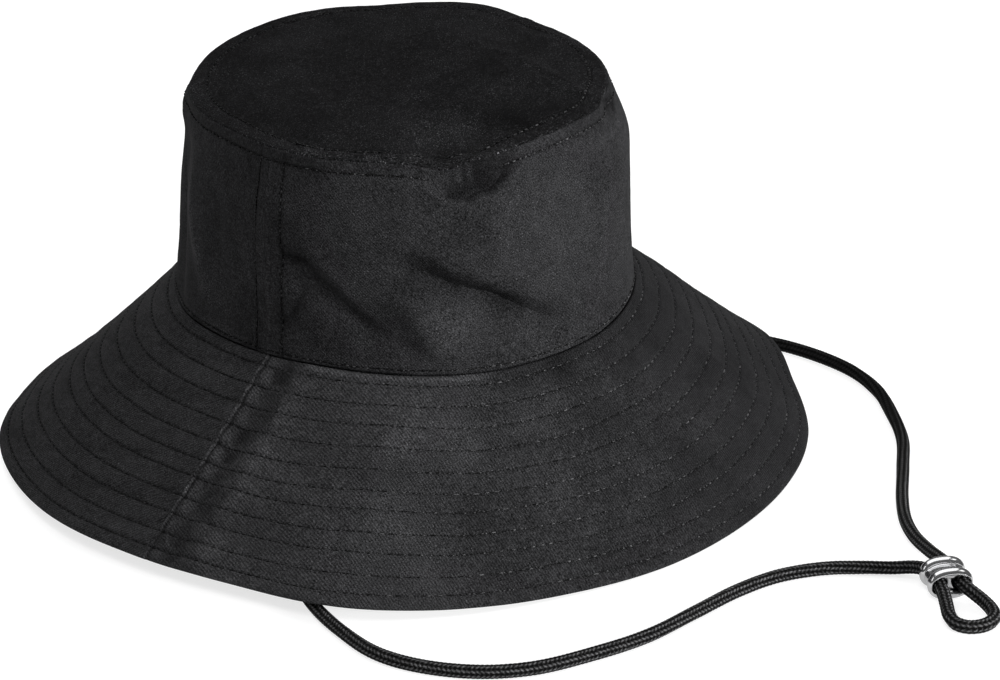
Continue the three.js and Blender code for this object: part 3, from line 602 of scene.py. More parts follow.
def fold_out(at, up, folds):
    r = rib(at, "baseR")
    h = rim_z(at) - SEAM_Z
    keep = np.minimum(1, up / 0.06) * np.minimum(1, (1 - up) / 0.03 + 0.25)
    out = 0
    for at0, up0, at1, up1, depth, wide in folds:
        half = turn(at1, at0) / 2
        middle = turn(at0 + half, at)
        ax, bx = (middle - half) * DEG * r, (middle + half) * DEG * r
        ay, by = (up0 - up) * h, (up1 - up) * h
        dx, dy = bx - ax, by - ay
        t = np.clip(-(ax * dx + ay * dy) / (dx * dx + dy * dy), 0, 1)
        out = out + depth * hump(np.hypot(ax + t * dx, ay + t * dy), wide)
    return out * keep


def crown_side(at, up):
    base, top = rib(at, "baseR"), rib(at, "topR")
    r = base + (top - base) * up + rib(at, "bulge") * np.sin(np.pi * np.power(up, BULGE_POWER))
    r = r + fold_out(at, up, CROWN_FOLDS)
    return r, SEAM_Z + (rim_z(at) - SEAM_Z) * up


RIM_MEAN = float(TABLE["topZ"].mean())


def crown_top(at, share):
    r = rib(at, "topR") * share
    x, y = r * np.sin(at * DEG), -r * np.cos(at * DEG)
    rim = rim_z(at) - RIM_MEAN
    z = RIM_MEAN + rim * share**4 + TOP_DOME * (1 - share * share) + SHOULDER_DROP * (1 - share**14)
    for d, out, lift, wide in TOP_WAVES:
        away = np.hypot(x - out * math.sin(d * DEG), y + out * math.cos(d * DEG))
        z = z + lift * hump(away, wide) * (1 - share**6)
    return r, z


def brim(at, out):
    a, b = rib(at, "baseR"), rib(at, "edgeR")
    edge = np.maximum(rib(at, "edgeZ"), BRIM_WALL / 2 + 0.02)
    z = SEAM_Z + (edge - SEAM_Z) * out
    for d, peak, lift, wide in BRIM_WAVES:
        z = z + lift * hump(turn(at, d), wide) * np.sin(np.pi * np.power(out, math.log(0.5) / math.log(peak)))
    return a + (b - a) * out, z


def along(surface, at, s):
    """Unit direction along a surface's profile at a direction."""
    e = 0.004
    r1, z1 = surface(at, np.minimum(1, s + e))
    r0, z0 = surface(at, np.maximum(0, s - e))
    dr, dz = r1 - r0, z1 - z0
    d = np.hypot(dr, dz)
    return dr / d, dz / d


def normal_of(surface, at, s):
    """Unit normal on the outer side, in the upright plane."""
    tr, tz = along(surface, at, s)
    return (tz, -tr) if surface is crown_side else (-tz, tr)


def mitre(own, other, wall):
    mr, mz = own[0] + other[0], own[1] + other[1]
    d = np.hypot(mr, mz)
    mr, mz = mr / d, mz / d
    c = mr * own[0] + mz * own[1]
    return -mr * wall / c, -mz * wall / c


def place(at, r, z):
    at, r, z = np.broadcast_arrays(at, r, z)
    return np.stack([r * np.sin(at * DEG), -r * np.cos(at * DEG), z], -1)


def roll(d, radius):
    """How far a rounded edge falls at a distance d from the edge."""
    x = np.clip(1 - d / radius, 0, 1)
    return -radius * (1 - np.sqrt(1 - x * x * 0.96))


def band(d, edge, soft=0.5):
    """1 within edge mm of a seam, soft at its end."""
    return 1 - smooth((d - edge) / soft + 0.5)


def groove(d, wide=0.75):
    return -hump(d, wide)


def ripples(u, v, seed, cell):
    """Small gathers across a seam: uneven ridges along u."""
    w = noise(u / cell, v / 7, seed) + 0.6 * noise(u / (0.45 * cell), v / 6, seed + 1)
    return w


def to_seams(at, r):
    """Signed distance in mm from the nearer side seam, positive on its front side."""
    left = turn(at, LEFT_SEAM) * DEG * r
    right = -turn(at, RIGHT_SEAM) * DEG * r
    return np.where(np.abs(left) < np.abs(right), left, right)


def side_relief(at, up):
    """Fine shape of the crown side's outer face, mm along its normal."""
    r = rib(at, "baseR")
    h = rim_z(at) - SEAM_Z
    u, v = at * DEG * 90.0, up * h
    down = h - v
    ahead = to_seams(at, r)
    d = np.abs(ahead)
    row = np.where(ahead > 0, SIDE_ROW[1], SIDE_ROW[-1])
    out = side_creases(at, up)
    calm = smooth(v / 6) * smooth(down / 9)
    out = out + (0.26 * noise(u / 26, v / 21, 11) + 0.12 * noise(u / 11, v / 9, 12)) * calm
    out = out + 0.03 * noise(u / 4, v / 4, 13)
    # felled side seams: a band between its two rows, its back part over its front part
    b = band(d, row + 0.7)
    out = out + 0.3 * b + 0.5 * groove(d - row, 0.7) + 0.2 * groove(ahead - 1.9, 0.6)
    out = out + 0.4 * smooth((1.8 - ahead) / 2.4) * b
    out = out + 0.16 * b * ripples(v, d, 14, 5.0) * smooth(v / 4) * smooth(down / 4)
    out = out + 0.16 * hump(d - row - 2.6, 4.0) * ripples(v, d, 16, 7.0) * calm
    # the allowance under the top seam
    t = band(down, RIM_ROW_DOWN + 0.8)
    out = out + 0.22 * t + 0.34 * groove(down - RIM_ROW_DOWN, 0.75)
    out = out + 0.24 * ripples(u, down, 18, 4.6) * t * smooth(down / 1.5)
    out = out + 0.2 * ripples(u, down, 20, 6.5) * smooth((down - 5) / 2) * hump(down - 6, 6.0)
    # the row over the brim seam
    out = out + 0.12 * groove(v - FOOT_ROW, 0.6) + 0.1 * ripples(u, v, 22, 5.0) * hump(v - 3.5, 4.0)
    return out + roll(v, 0.8) + roll(down, 0.9)


def top_relief(at, share):
    r = rib(at, "topR")
    u = at * DEG * 84.0
    inward = (1 - share) * r
    x, y = r * share * np.sin(at * DEG), -r * share * np.cos(at * DEG)
    t = band(inward, RIM_ROW_IN + 0.8)
    out = 0.3 * t + 0.34 * groove(inward - RIM_ROW_IN, 0.75)
    edge = smooth((share - 0.5) / 0.3)  # the ripples' direction is only true near the rim
    out = out + 0.2 * ripples(u, inward, 24, 5.2) * t * smooth(inward / 1.5)
    out = out + 0.14 * ripples(u, inward, 26, 7.0) * edge * hump(inward - 9, 6.0) * (1 - t)
    out = out + (0.36 * noise(x / 24, y / 24, 28) + 0.14 * noise(x / 10, y / 10, 29)) * smooth(inward / 9)
    out = out + 0.04 * noise(x / 4, y / 4, 30)
    for wide, line in TOP_CREASES.values():
        out = out + crease(lambda q: q - x, lambda q: q - y, wide, line) * smooth(inward / 5)
    return out + roll(inward, 0.9)


def brim_relief(at, out, under=False):
    """Fine shape of one face of the brim, mm along the outward normal of that face."""
    a, b = rib(at, "baseR"), rib(at, "edgeR")
    r = a + (b - a) * out
    long = np.hypot(b - a, SEAM_Z - np.maximum(rib(at, "edgeZ"), 1.22))
    v = out * long
    u = at * DEG * r
    seed = 200 if under else 40
    seam = to_seams(at, r)
    d = np.abs(seam)
    # quilting: a furrow along each row, and the cloth puffed between two rows
    rows = np.array(BRIM_ROWS)
    k = np.clip(np.searchsorted(rows, out), 0, len(rows))
    prev = np.where(k > 0, rows[np.maximum(k - 1, 0)], 0.0)
    nxt = np.where(k < len(rows), rows[np.minimum(k, len(rows) - 1)], 1.0)
    share = (out - prev) / np.maximum(nxt - prev, 1e-6)
    near = np.minimum(np.abs(out - prev), np.abs(nxt - out)) * long
    near = np.where((k == 0) & (out < rows[0] / 2), 9, near)
    near = np.where((k == len(rows)) & (out > (1 + rows[-1]) / 2), 9, near)
    puff = np.sin(np.pi * np.clip(share, 0, 1)) ** 0.8
    lift = 0.3 * groove(near, 0.5) + 0.1 * groove(near, 1.3) + 0.07 * puff
    # each band between two rows gathers in its own way
    cell = k * 7.31
    gather = noise(u / 9 + cell, cell, seed) + 0.5 * noise(u / 4.5 + cell, cell + 3, seed + 1)
    amount = 0.07 + 0.7 * hump(np.where(seam > 0, seam - 9, 60), 8.0) + 0.12 * hump(d - 4, 5.0)
    lift = lift + amount * gather * puff
    stand = 1 + 0.8 * noise(cell, cell + 9, seed + 6)
    crest = 3.2 + 2.6 * noise(cell, cell + 5, seed + 5) + 1.5 * (share - 0.5)
    ahead = np.where(seam > 0, seam, 90.0)
    lift = lift + (0.85 * hump(ahead - crest, 4.2) - 0.8 * hump(ahead - crest - 6.4, 4.2) + 0.8 * hump(ahead - crest - 13.5, 6.0)) * stand * puff
    lift = lift + 0.3 * noise(u / 34, v / 48, seed + 2) + 0.15 * noise(u / 16, v / 20, seed + 3)
    lift = lift + (-0.8 if under else 1.0) * brim_creases(at, out)
    lift = lift + 0.04 * noise(u / 4, v / 4, seed + 4)
    # side seams of the brim: the back part's edge lies over the front part's
    lift = lift + 0.5 * smooth((1.0 - seam) / 1.1) * (1 - smooth((-seam - 2) / 9)) + 0.4 * groove(seam - 1.5, 0.5)
    return lift + roll(v, 0.9)


# Painted light and shade on the brim as a factor on the cloth's colour, with some random tone.
def brim_painted_light_and_tone(at, out):
    r = rib(at, "baseR") + (rib(at, "edgeR") - rib(at, "baseR")) * out
    table = np.array(BRIM_PAINTED_LIGHT, float)
    value = np.interp((at + 180) % 360 - 180, table[:, 0], table[:, 1])
    for where, share, change, wide in BRIM_PAINTED_PATCHES:
        value = value + change * hump(np.hypot(turn(at, where) * DEG * r, (out - share) * 92), wide)
    ahead = to_seams(at, r)
    ahead = np.where(ahead > 0, ahead, 90.0)
    rows = np.array((0.0, *BRIM_ROWS, 1.0))
    k = np.clip(np.searchsorted(rows, out, side="right"), 1, len(rows) - 1)
    inside = (out - rows[k - 1]) / (rows[k] - rows[k - 1])
    puff = np.sin(np.pi * np.clip(inside, 0, 1)) ** 0.8
    deep = 1 + 0.8 * noise(k * 7.31, k * 7.31 + 9, 246)
    middle = 11.0 + 4.0 * noise(k * 7.31, k * 7.31 + 2, 247)
    # painted shade and light on the gathers of each band beside the seam
    value = value + (
        0.5 * hump(ahead - 4, 4.0) * inside - 0.42 * hump(ahead - middle, 4.6) * (1.35 - inside) + 0.12 * hump(ahead - 19, 5.0)
    ) * puff * deep
    # painted highlight and shade: the seam's fold is a pale line with a dark one beside it
    value = value + 0.35 * hump(ahead - 0.6, 0.6) - 0.5 * hump(ahead - 1.7, 0.6)
    # toned by place, as the light falls: darker rows on the hat's left
    left = smooth((64 - np.abs(turn(at, -142))) / 16)
    near = np.min(np.abs(out[..., None] - np.array(BRIM_ROWS)), -1) * 92
    value = value - 0.34 * hump(near, 0.6) * left
    # painted highlight: the folded edge under the crown catches the light in front
    value = value + 0.75 * band(out * 92, 2.8, 1.4) * smooth((28 - np.abs(turn(at, -56))) / 10)
    return value * (1 + 0.14 * noise(at * DEG * r / 22, out * 92 / 14, 71) + 0.1 * noise(at * DEG * r / 9, out * 92 / 8, 72))


# Painted light and shade on the crown's side as a factor on the cloth's colour, with some random tone.
def side_painted_light_and_tone(at, up):
    u, v = at * DEG * 90.0, up * 84.0
    value = 1 + 0.12 * noise(u / 20, v / 16, 75) + 0.08 * noise(u / 8, v / 8, 76)
    for where, share, change, wide, high in SIDE_PAINTED_PATCHES:
        value = value + change * hump(np.hypot(turn(at, where) * DEG * 90.0 / wide, (up - share) * 84.0 / high), 1.0)
    for wide, line in SIDE_PAINTED_SHADES.values():
        centre = line[len(line) // 2][0]
        away = turn(centre, at)
        value = value + crease(lambda q: (away + turn(q, centre)) * DEG * 90.0, lambda q: (q - up) * 84.0, wide, line)
    # painted highlight and shade: the felled edge of the side seams catches the light, its front row lies in shade
    ahead = to_seams(at, rib(at, "baseR"))
    value = value + 0.08 * hump(ahead - 2.4, 2.0) - 0.3 * hump(ahead - SIDE_ROW[1] + 0.3, 1.3) - 0.2 * hump(ahead + SIDE_ROW[-1], 1.0)
    down = (1 - up) * 84.0
    # painted shade along the row under the top seam
    value = value - 0.06 * band(down, RIM_ROW_DOWN, 1.0) - 0.2 * hump(down - RIM_ROW_DOWN, 0.9)
    return np.maximum(value, 0.42)


# Painted light and shade on the top panel as a factor on the cloth's colour, with some random tone.
def top_painted_light_and_tone(x, y):
    value = 1.0 + 0.2 * noise(x / 20, y / 20, 73) + 0.12 * noise(x / 8, y / 8, 74)
    for px, py, change, wide in TOP_PAINTED_PATCHES:
        value = value + change * hump(np.hypot(x - px, y - py), wide)
    # painted light: the band outside the row is paler in front
    at = np.degrees(np.arctan2(x, -y))
    inside = rib(at, "topR") - np.hypot(x, y)
    value = value + 0.4 * smooth((RIM_ROW_IN - 0.6 - inside) / 1.0) * smooth((95 - np.abs(turn(at, -75))) / 40)
    return value


# ---------------------------------------------------------------- points on the finished faces
def side_point(at, up, lift=0.0):
    r, z = crown_side(at, up)
    nr, nz = normal_of(crown_side, at, up)
    out = side_relief(at, up) + lift
    return place(at, r + nr * out, z + nz * out)


def proud_side_point(at, up, lift=0.0):
    return side_point(at, up, lift + 0.14)


def top_point(at, share, lift=0.0):
    r, z = crown_top(at, share)
    nr, nz = normal_of(crown_top, at, share)
    out = top_relief(at, share) + lift
    return place(at, r + nr * out, z + nz * out)


def brim_point(at, out, lift=0.0, under=False):
    r, z = brim(at, out)
    nr, nz = normal_of(brim, at, out)
    up = BRIM_WALL / 2 * out
    if under:
        step = up - BRIM_WALL - brim_relief(at, out, True) - lift
    else:
        step = up + brim_relief(at, out) + lift
    return place(at, r + nr * step, z + nz * step)


# ---------------------------------------------------------------- stitches
def stitches(point, at_of, s_of, pitch=PITCH, length=3.2, seed=1, radius=THREAD, sides=5, rings=4, start=0.5):
    """Stitches along a path over a face. point(at, s, lift) gives places on it; at_of and s_of
    give the path by a parameter 0 to 1. Returns vertices and faces."""
    t = np.linspace(0, 1, 1600)
    p = point(at_of(t), s_of(t))
    run = np.concatenate([[0], np.cumsum(np.linalg.norm(np.diff(p, axis=0), axis=1))])
    total = run[-1]
    count = max(1, int((total - start) / pitch))
    step = (total - start) / count
    rng = np.random.default_rng(seed)
    middle = start / 2 + step * (np.arange(count) + 0.5) + rng.uniform(-0.12, 0.12, count)
    size = length * step / pitch * rng.uniform(0.93, 1.07, count)
    places = np.linspace(-0.5, 0.5, rings)
    where = middle[:, None] + size[:, None] * places[None, :]
    q = np.interp(where, run, t)
    at, s = at_of(q), s_of(q)
    height = np.where(np.abs(places) > 0.45, -0.3, 0.08)[None, :] + 0 * q
    c = point(at, s, height)
    e = point(at, s, height + 0.5) - c
    n = e / np.linalg.norm(e, axis=-1, keepdims=True)
    tangent = np.gradient(c, axis=1)
    tangent = tangent / np.linalg.norm(tangent, axis=-1, keepdims=True)
    side = np.cross(tangent, n)
    side = side / np.linalg.norm(side, axis=-1, keepdims=True)
    n = np.cross(side, tangent)
    size_at = np.where(np.abs(places) > 0.45, 0.62, 1.0) * radius
    a = np.arange(sides) / sides * 2 * np.pi
    ring = (
        c[:, :, None, :]
        + size_at[None, :, None, None] * (np.cos(a)[None, None, :, None] * side[:, :, None, :] + np.sin(a)[None, None, :, None] * n[:, :, None, :])
    )
    points = ring.reshape(-1, 3)
    base = (np.arange(count) * rings * sides)[:, None]
    faces = []
    k = np.arange(rings - 1)[:, None]
    j = np.arange(sides)[None, :]
    local = np.stack([k * sides + j, k * sides + (j + 1) % sides, (k + 1) * sides + (j + 1) % sides, (k + 1) * sides + j], -1).reshape(-1, 4)
    quads = (base[:, :, None] + local[None]).reshape(-1, 4)
    faces += [tuple(x) for x in quads.tolist()]
    first = list(range(sides))[::-1]
    last = [(rings - 1) * sides + x for x in range(sides)]
    for b in base[:, 0].tolist():
        faces.append(tuple(b + x for x in first))
        faces.append(tuple(b + x for x in last))
    return points, faces


def needle_holes(point, at_of, s_of, pitch=PITCH, seed=1, start=0.5, radius=0.46, sides=5):
    """Small pits between the stitches of a row, near black as painted shade: the same places as stitches() uses."""
    t = np.linspace(0, 1, 1600)
    p = point(at_of(t), s_of(t))
    run = np.concatenate([[0], np.cumsum(np.linalg.norm(np.diff(p, axis=0), axis=1))])
    count = max(1, int((run[-1] - start) / pitch))
    step = (run[-1] - start) / count
    where = start / 2 + step * np.arange(count)
    q = np.interp(where, run, t)
    at, s = at_of(q), s_of(q)
    c = point(at, s, 0.0 * q)
    n = point(at, s, 0.0 * q + 0.5) - c
    n /= np.linalg.norm(n, axis=-1, keepdims=True)
    ahead = point(at_of(np.minimum(1, q + 1e-4)), s_of(np.minimum(1, q + 1e-4)), 0.0 * q) - point(
        at_of(np.maximum(0, q - 1e-4)), s_of(np.maximum(0, q - 1e-4)), 0.0 * q
    )
    side = np.cross(ahead, n)
    side /= np.linalg.norm(side, axis=-1, keepdims=True)
    ahead = np.cross(n, side)
    a = np.arange(sides) / sides * 2 * np.pi
    size = radius * np.random.default_rng(seed + 7).uniform(0.75, 1.15, count)
    ring = c[:, None, :] + size[:, None, None] * (1.25 * np.cos(a)[None, :, None] * ahead[:, None, :] + np.sin(a)[None, :, None] * side[:, None, :])
    low = ring - 0.3 * n[:, None, :]
    high = ring * 0.55 + c[:, None, :] * 0.45 + 0.12 * n[:, None, :]
    pit = c - 0.1 * n
    points = np.concatenate([low, high, pit[:, None, :]], 1).reshape(-1, 3)
    k = 2 * sides + 1
    faces = []
    for i in range(count):
        b = i * k
        for j in range(sides):
            j2 = (j + 1) % sides
            faces.append((b + j, b + j2, b + sides + j2, b + sides + j))
            faces.append((b + sides + j, b + sides + j2, b + 2 * sides))
        faces.append(tuple(b + j for j in range(sides - 1, -1, -1)))
    return points, faces


def join_parts(parts):
    points, faces, start = [], [], 0
    for p, f in parts:
        points.append(p)
        faces += [tuple(start + x for x in q) for q in f]
        start += len(p)
    return np.vstack(points), faces


# ---------------------------------------------------------------- materials
def nodes_of(name):
    m = bpy.data.materials.new(name)
    m.use_nodes = True
    t = m.node_tree
    t.nodes.clear()
    out = t.nodes.new("ShaderNodeOutputMaterial")
    shader = t.nodes.new("ShaderNodeBsdfPrincipled")
    t.links.new(shader.outputs[0], out.inputs[0])
    return m, t, shader


def math_node(t, operation, a, b=None, c=None):
    n = t.nodes.new("ShaderNodeMath")
    n.operation = operation
    for q, x in enumerate((a, b, c)):
        if x is None:
            continue
        if isinstance(x, (int, float)):
            n.inputs[q].default_value = x
        else:
            t.links.new(x, n.inputs[q])
    return n.outputs[0]


def noise_node(t, vector, scale, detail=2.0, rough=0.5):
    n = t.nodes.new("ShaderNodeTexNoise")
    n.inputs["Scale"].default_value = scale
    n.inputs["Detail"].default_value = detail
    n.inputs["Roughness"].default_value = rough
    t.links.new(vector, n.inputs["Vector"])
    return n.outputs["Fac"]


def ramp(t, fac, stops):
    n = t.nodes.new("ShaderNodeValToRGB")
    t.links.new(fac, n.inputs[0])
    e = n.color_ramp.elements
    e[0].position, e[0].color = stops[0][0], (*stops[0][1], 1)
    e[1].position, e[1].color = stops[-1][0], (*stops[-1][1], 1)
    for pos, col in stops[1:-1]:
        x = e.new(pos)
        x.color = (*col, 1)
    return n.outputs[0]


def cloth_material(name, dark, light, twill, across_twill, lines, sheen, grain=1.0, glint_from=0.66, glint_gain=3.4, bright=2.2):
    """Woven cloth. twill: pitch of its diagonal lines in mm, which run across the direction
    across_twill; lines: how strong they are. The mesh attribute gives the place on the cloth in mm
    and a factor on the colour: painted light and shade, with some random tone."""
    m, t, shader = nodes_of(name)
    attr = t.nodes.new("ShaderNodeAttribute")
    attr.attribute_name = "weave"
    vec = attr.outputs["Vector"]
    xyz = t.nodes.new("ShaderNodeSeparateXYZ")
    t.links.new(vec, xyz.inputs[0])
    u, v, painted_light_and_tone = xyz.outputs[0], xyz.outputs[1], xyz.outputs[2]
    # diagonal ribs of the twill, a little uneven
    wobble = noise_node(t, vec, 0.5, 2.0)
    diagonal = math_node(t, "ADD", math_node(t, "MULTIPLY", u, across_twill[0]), math_node(t, "MULTIPLY", v, across_twill[1]))
    phase = math_node(t, "ADD", math_node(t, "MULTIPLY", diagonal, 2 * math.pi / twill), math_node(t, "MULTIPLY", wobble, 4.0))
    ribs = math_node(t, "SINE", phase)
    # yarns across the ribs
    across = math_node(t, "SUBTRACT", math_node(t, "MULTIPLY", v, 0.9), math_node(t, "MULTIPLY", u, 0.35))
    yarn = math_node(t, "SINE", math_node(t, "ADD", math_node(t, "MULTIPLY", across, 2 * math.pi / 0.62), math_node(t, "MULTIPLY", ribs, 1.6)))
    fuzz = noise_node(t, vec, 1.7, 2.0, 0.6)
    slub = noise_node(t, vec, 0.5, 2.0, 0.6)
    blotch = noise_node(t, vec, 0.15, 2.0, 0.5)
    patch = noise_node(t, vec, 0.03, 2.0, 0.5)
    tone = math_node(t, "MULTIPLY", math_node(t, "SUBTRACT", fuzz, 0.5), grain)
    tone = math_node(t, "ADD", tone, math_node(t, "MULTIPLY", math_node(t, "SUBTRACT", slub, 0.5), 0.22))
    tone = math_node(t, "ADD", tone, math_node(t, "MULTIPLY", math_node(t, "SUBTRACT", patch, 0.5), 0.12))
    tone = math_node(t, "ADD", tone, math_node(t, "MULTIPLY", math_node(t, "SUBTRACT", blotch, 0.5), 0.14))
    tone = math_node(t, "ADD", tone, math_node(t, "MULTIPLY", ribs, 0.035 * lines))
    tone = math_node(t, "ADD", tone, 0.5)
    # pale specks at random: painted glints where the cloth catches the light
    speck = noise_node(t, vec, 2.3, 1.0, 0.5)
    glint_specks = math_node(t, "MAXIMUM", math_node(t, "MULTIPLY", math_node(t, "SUBTRACT", speck, glint_from), glint_gain), 0.0)
    tone = math_node(t, "ADD", tone, glint_specks)
    middle = tuple(0.66 * a + 0.34 * b for a, b in zip(dark, light))
    glint = tuple(bright * b for b in light)
    colour = ramp(t, tone, [(0.25, dark), (0.5, middle), (0.8, light), (1.0, glint)])
    colour_with_painted_light = t.nodes.new("ShaderNodeVectorMath")
    colour_with_painted_light.operation = "SCALE"
    t.links.new(colour, colour_with_painted_light.inputs[0])
    t.links.new(painted_light_and_tone, colour_with_painted_light.inputs[3])
    t.links.new(colour_with_painted_light.outputs[0], shader.inputs["Base Color"])
    rough = math_node(t, "ADD", math_node(t, "MULTIPLY", fuzz, 0.16), 0.74)
    t.links.new(rough, shader.inputs["Roughness"])
    shader.inputs["Sheen Weight"].default_value = sheen
    shader.inputs["Sheen Roughness"].default_value = 0.45
    shader.inputs["Sheen Tint"].default_value = (0.8, 0.8, 0.86, 1)
    shader.inputs["Specular IOR Level"].default_value = 0.05
    height = math_node(t, "ADD", math_node(t, "MULTIPLY", ribs, 0.055 * lines), math_node(t, "MULTIPLY", yarn, 0.022))
    height = math_node(t, "ADD", height, math_node(t, "MULTIPLY", fuzz, 0.1))
    bump = t.nodes.new("ShaderNodeBump")
    bump.inputs["Strength"].default_value = 0.75
    bump.inputs["Distance"].default_value = 0.0010
    t.links.new(height, bump.inputs["Height"])
    t.links.new(bump.outputs[0], shader.inputs["Normal"])
    return m


def thread_material():
    m, t, shader = nodes_of("thread")
    coord = t.nodes.new("ShaderNodeTexCoord")
    vec = coord.outputs["Object"]
    grain = noise_node(t, vec, 900.0, 2.0)
    # near-black thread; its palest specks are painted glints
    colour = ramp(t, grain, [(0.3, (0.0012, 0.0012, 0.0012)), (0.5, (0.006, 0.006, 0.0061)), (0.66, (0.066, 0.066, 0.068))])
    # toned by place on the hat, as the light falls: paler on its right and front
    xyz = t.nodes.new("ShaderNodeSeparateXYZ")
    t.links.new(vec, xyz.inputs[0])
    right = math_node(t, "SUBTRACT", math_node(t, "MULTIPLY", xyz.outputs[0], 0.6), math_node(t, "MULTIPLY", xyz.outputs[1], 0.8))
    front = math_node(t, "ADD", math_node(t, "MULTIPLY", xyz.outputs[0], -0.8), math_node(t, "MULTIPLY", xyz.outputs[1], -0.6))
    right = math_node(t, "MINIMUM", math_node(t, "MAXIMUM", math_node(t, "MULTIPLY", math_node(t, "ADD", right, 0.06), 10.0), 0.0), 1.0)
    front = math_node(t, "MINIMUM", math_node(t, "MAXIMUM", math_node(t, "MULTIPLY", math_node(t, "ADD", front, 0.06), 12.0), 0.0), 1.0)
    gain = math_node(t, "ADD", math_node(t, "MULTIPLY", math_node(t, "MULTIPLY", right, front), 0.85), 0.3)
    thread_painted_light = t.nodes.new("ShaderNodeVectorMath")
    thread_painted_light.operation = "SCALE"
    t.links.new(colour, thread_painted_light.inputs[0])
    t.links.new(gain, thread_painted_light.inputs["Scale"])
    t.links.new(thread_painted_light.outputs["Vector"], shader.inputs["Base Color"])
    shader.inputs["Roughness"].default_value = 0.5
    shader.inputs["Specular IOR Level"].default_value = 0.1
    return m


def hole_material():
    m, t, shader = nodes_of("needle_hole")
    coord = t.nodes.new("ShaderNodeTexCoord")
    grain = noise_node(t, coord.outputs["Object"], 700.0, 1.0)
    # painted shade: the pits are near black, for the shade inside them
    colour = ramp(t, grain, [(0.3, (0.0006, 0.0006, 0.0006)), (0.7, (0.002, 0.002, 0.002))])
    t.links.new(colour, shader.inputs["Base Color"])
    shader.inputs["Roughness"].default_value = 0.95
    shader.inputs["Specular IOR Level"].default_value = 0.0
    return m


def braid_material():
    m, t, shader = nodes_of("braid")
    attr = t.nodes.new("ShaderNodeAttribute")
    attr.attribute_name = "weave"
    xyz = t.nodes.new("ShaderNodeSeparateXYZ")
    t.links.new(attr.outputs["Vector"], xyz.inputs[0])
    s, theta = xyz.outputs[0], xyz.outputs[1]
    # the strands' slant in each column, as in the mesh, and the filaments along each strand
    column = math_node(t, "MULTIPLY", theta, 8.0)
    inside = math_node(t, "SUBTRACT", math_node(t, "FRACT", column), 0.5)
    parity = math_node(t, "SUBTRACT", math_node(t, "MULTIPLY", math_node(t, "MODULO", math_node(t, "FLOOR", column), 2.0), 2.0), 1.0)
    slant = math_node(t, "ADD", math_node(t, "MULTIPLY", s, 1 / 1.7), math_node(t, "MULTIPLY", math_node(t, "MULTIPLY", inside, parity), 0.9))
    strand = math_node(t, "SINE", math_node(t, "ADD", math_node(t, "MULTIPLY", slant, 2 * math.pi), math.pi / 2))
    lines = math_node(t, "SINE", math_node(t, "MULTIPLY", slant, 2 * math.pi * 4.0))
    # painted light and shade: each column's crest is lighter, the grooves between the columns darker
    crest = math_node(t, "SUBTRACT", 1.0, math_node(t, "MULTIPLY", math_node(t, "ABSOLUTE", inside), 2.0))
    coord = t.nodes.new("ShaderNodeTexCoord")
    grain = noise_node(t, coord.outputs["Object"], 1300.0, 2.0)
    tone = math_node(t, "MULTIPLY", grain, 0.5)
    tone = math_node(t, "ADD", tone, math_node(t, "MULTIPLY", strand, 0.09))
    tone = math_node(t, "ADD", tone, math_node(t, "MULTIPLY", crest, 0.3))
    tone = math_node(t, "ADD", tone, math_node(t, "MULTIPLY", lines, 0.05))
    colour = ramp(t, tone, [(0.3, (0.0018, 0.0018, 0.0018)), (0.44, (0.0105, 0.0105, 0.0105)), (0.68, (0.11, 0.11, 0.1125))])
    # toned by place, as the light falls: duller on the stretch to the right of the hat
    place = t.nodes.new("ShaderNodeSeparateXYZ")
    t.links.new(coord.outputs["Object"], place.inputs[0])
    braid_painted_shade = math_node(t, "MULTIPLY", math_node(t, "SUBTRACT", place.outputs[0], 0.06), 14.0)
    braid_painted_shade = math_node(t, "MINIMUM", math_node(t, "MAXIMUM", braid_painted_shade, 0.0), 0.84)
    braid_shaded_colour = t.nodes.new("ShaderNodeVectorMath")
    braid_shaded_colour.operation = "SCALE"
    t.links.new(colour, braid_shaded_colour.inputs[0])
    t.links.new(math_node(t, "SUBTRACT", 1.0, braid_painted_shade), braid_shaded_colour.inputs["Scale"])
    t.links.new(braid_shaded_colour.outputs["Vector"], shader.inputs["Base Color"])
    rough = math_node(t, "ADD", math_node(t, "MULTIPLY", grain, 0.2), 0.5)
    t.links.new(rough, shader.inputs["Roughness"])
    shader.inputs["Specular IOR Level"].default_value = 0.1
    bump = t.nodes.new("ShaderNodeBump")
    bump.inputs["Strength"].default_value = 0.8
    bump.inputs["Distance"].default_value = 0.0004
    height = math_node(t, "ADD", math_node(t, "MULTIPLY", lines, 0.14), math_node(t, "MULTIPLY", grain, 0.3))
    height = math_node(t, "ADD", height, math_node(t, "MULTIPLY", strand, 0.2))
    t.links.new(height, bump.inputs["Height"])
    t.links.new(bump.outputs[0], shader.inputs["Normal"])
    return m


def metal_material():
    m, t, shader = nodes_of("nickel")
    coord = t.nodes.new("ShaderNodeTexCoord")
    vec = coord.outputs["Object"]
    smear = noise_node(t, vec, 160.0, 3.0)
    colour = ramp(t, smear, [(0.3, (0.72, 0.72, 0.73)), (0.7, (0.78, 0.78, 0.79))])
    t.links.new(colour, shader.inputs["Base Color"])
    rough = math_node(t, "ADD", math_node(t, "MULTIPLY", smear, 0.06), 0.1)
    t.links.new(rough, shader.inputs["Roughness"])
    shader.inputs["Metallic"].default_value = 1.0
    bump = t.nodes.new("ShaderNodeBump")
    bump.inputs["Strength"].default_value = 0.008
    bump.inputs["Distance"].default_value = 0.0004
    t.links.new(noise_node(t, vec, 420.0, 2.0), bump.inputs["Height"])
    t.links.new(bump.outputs[0], shader.inputs["Normal"])
    return m


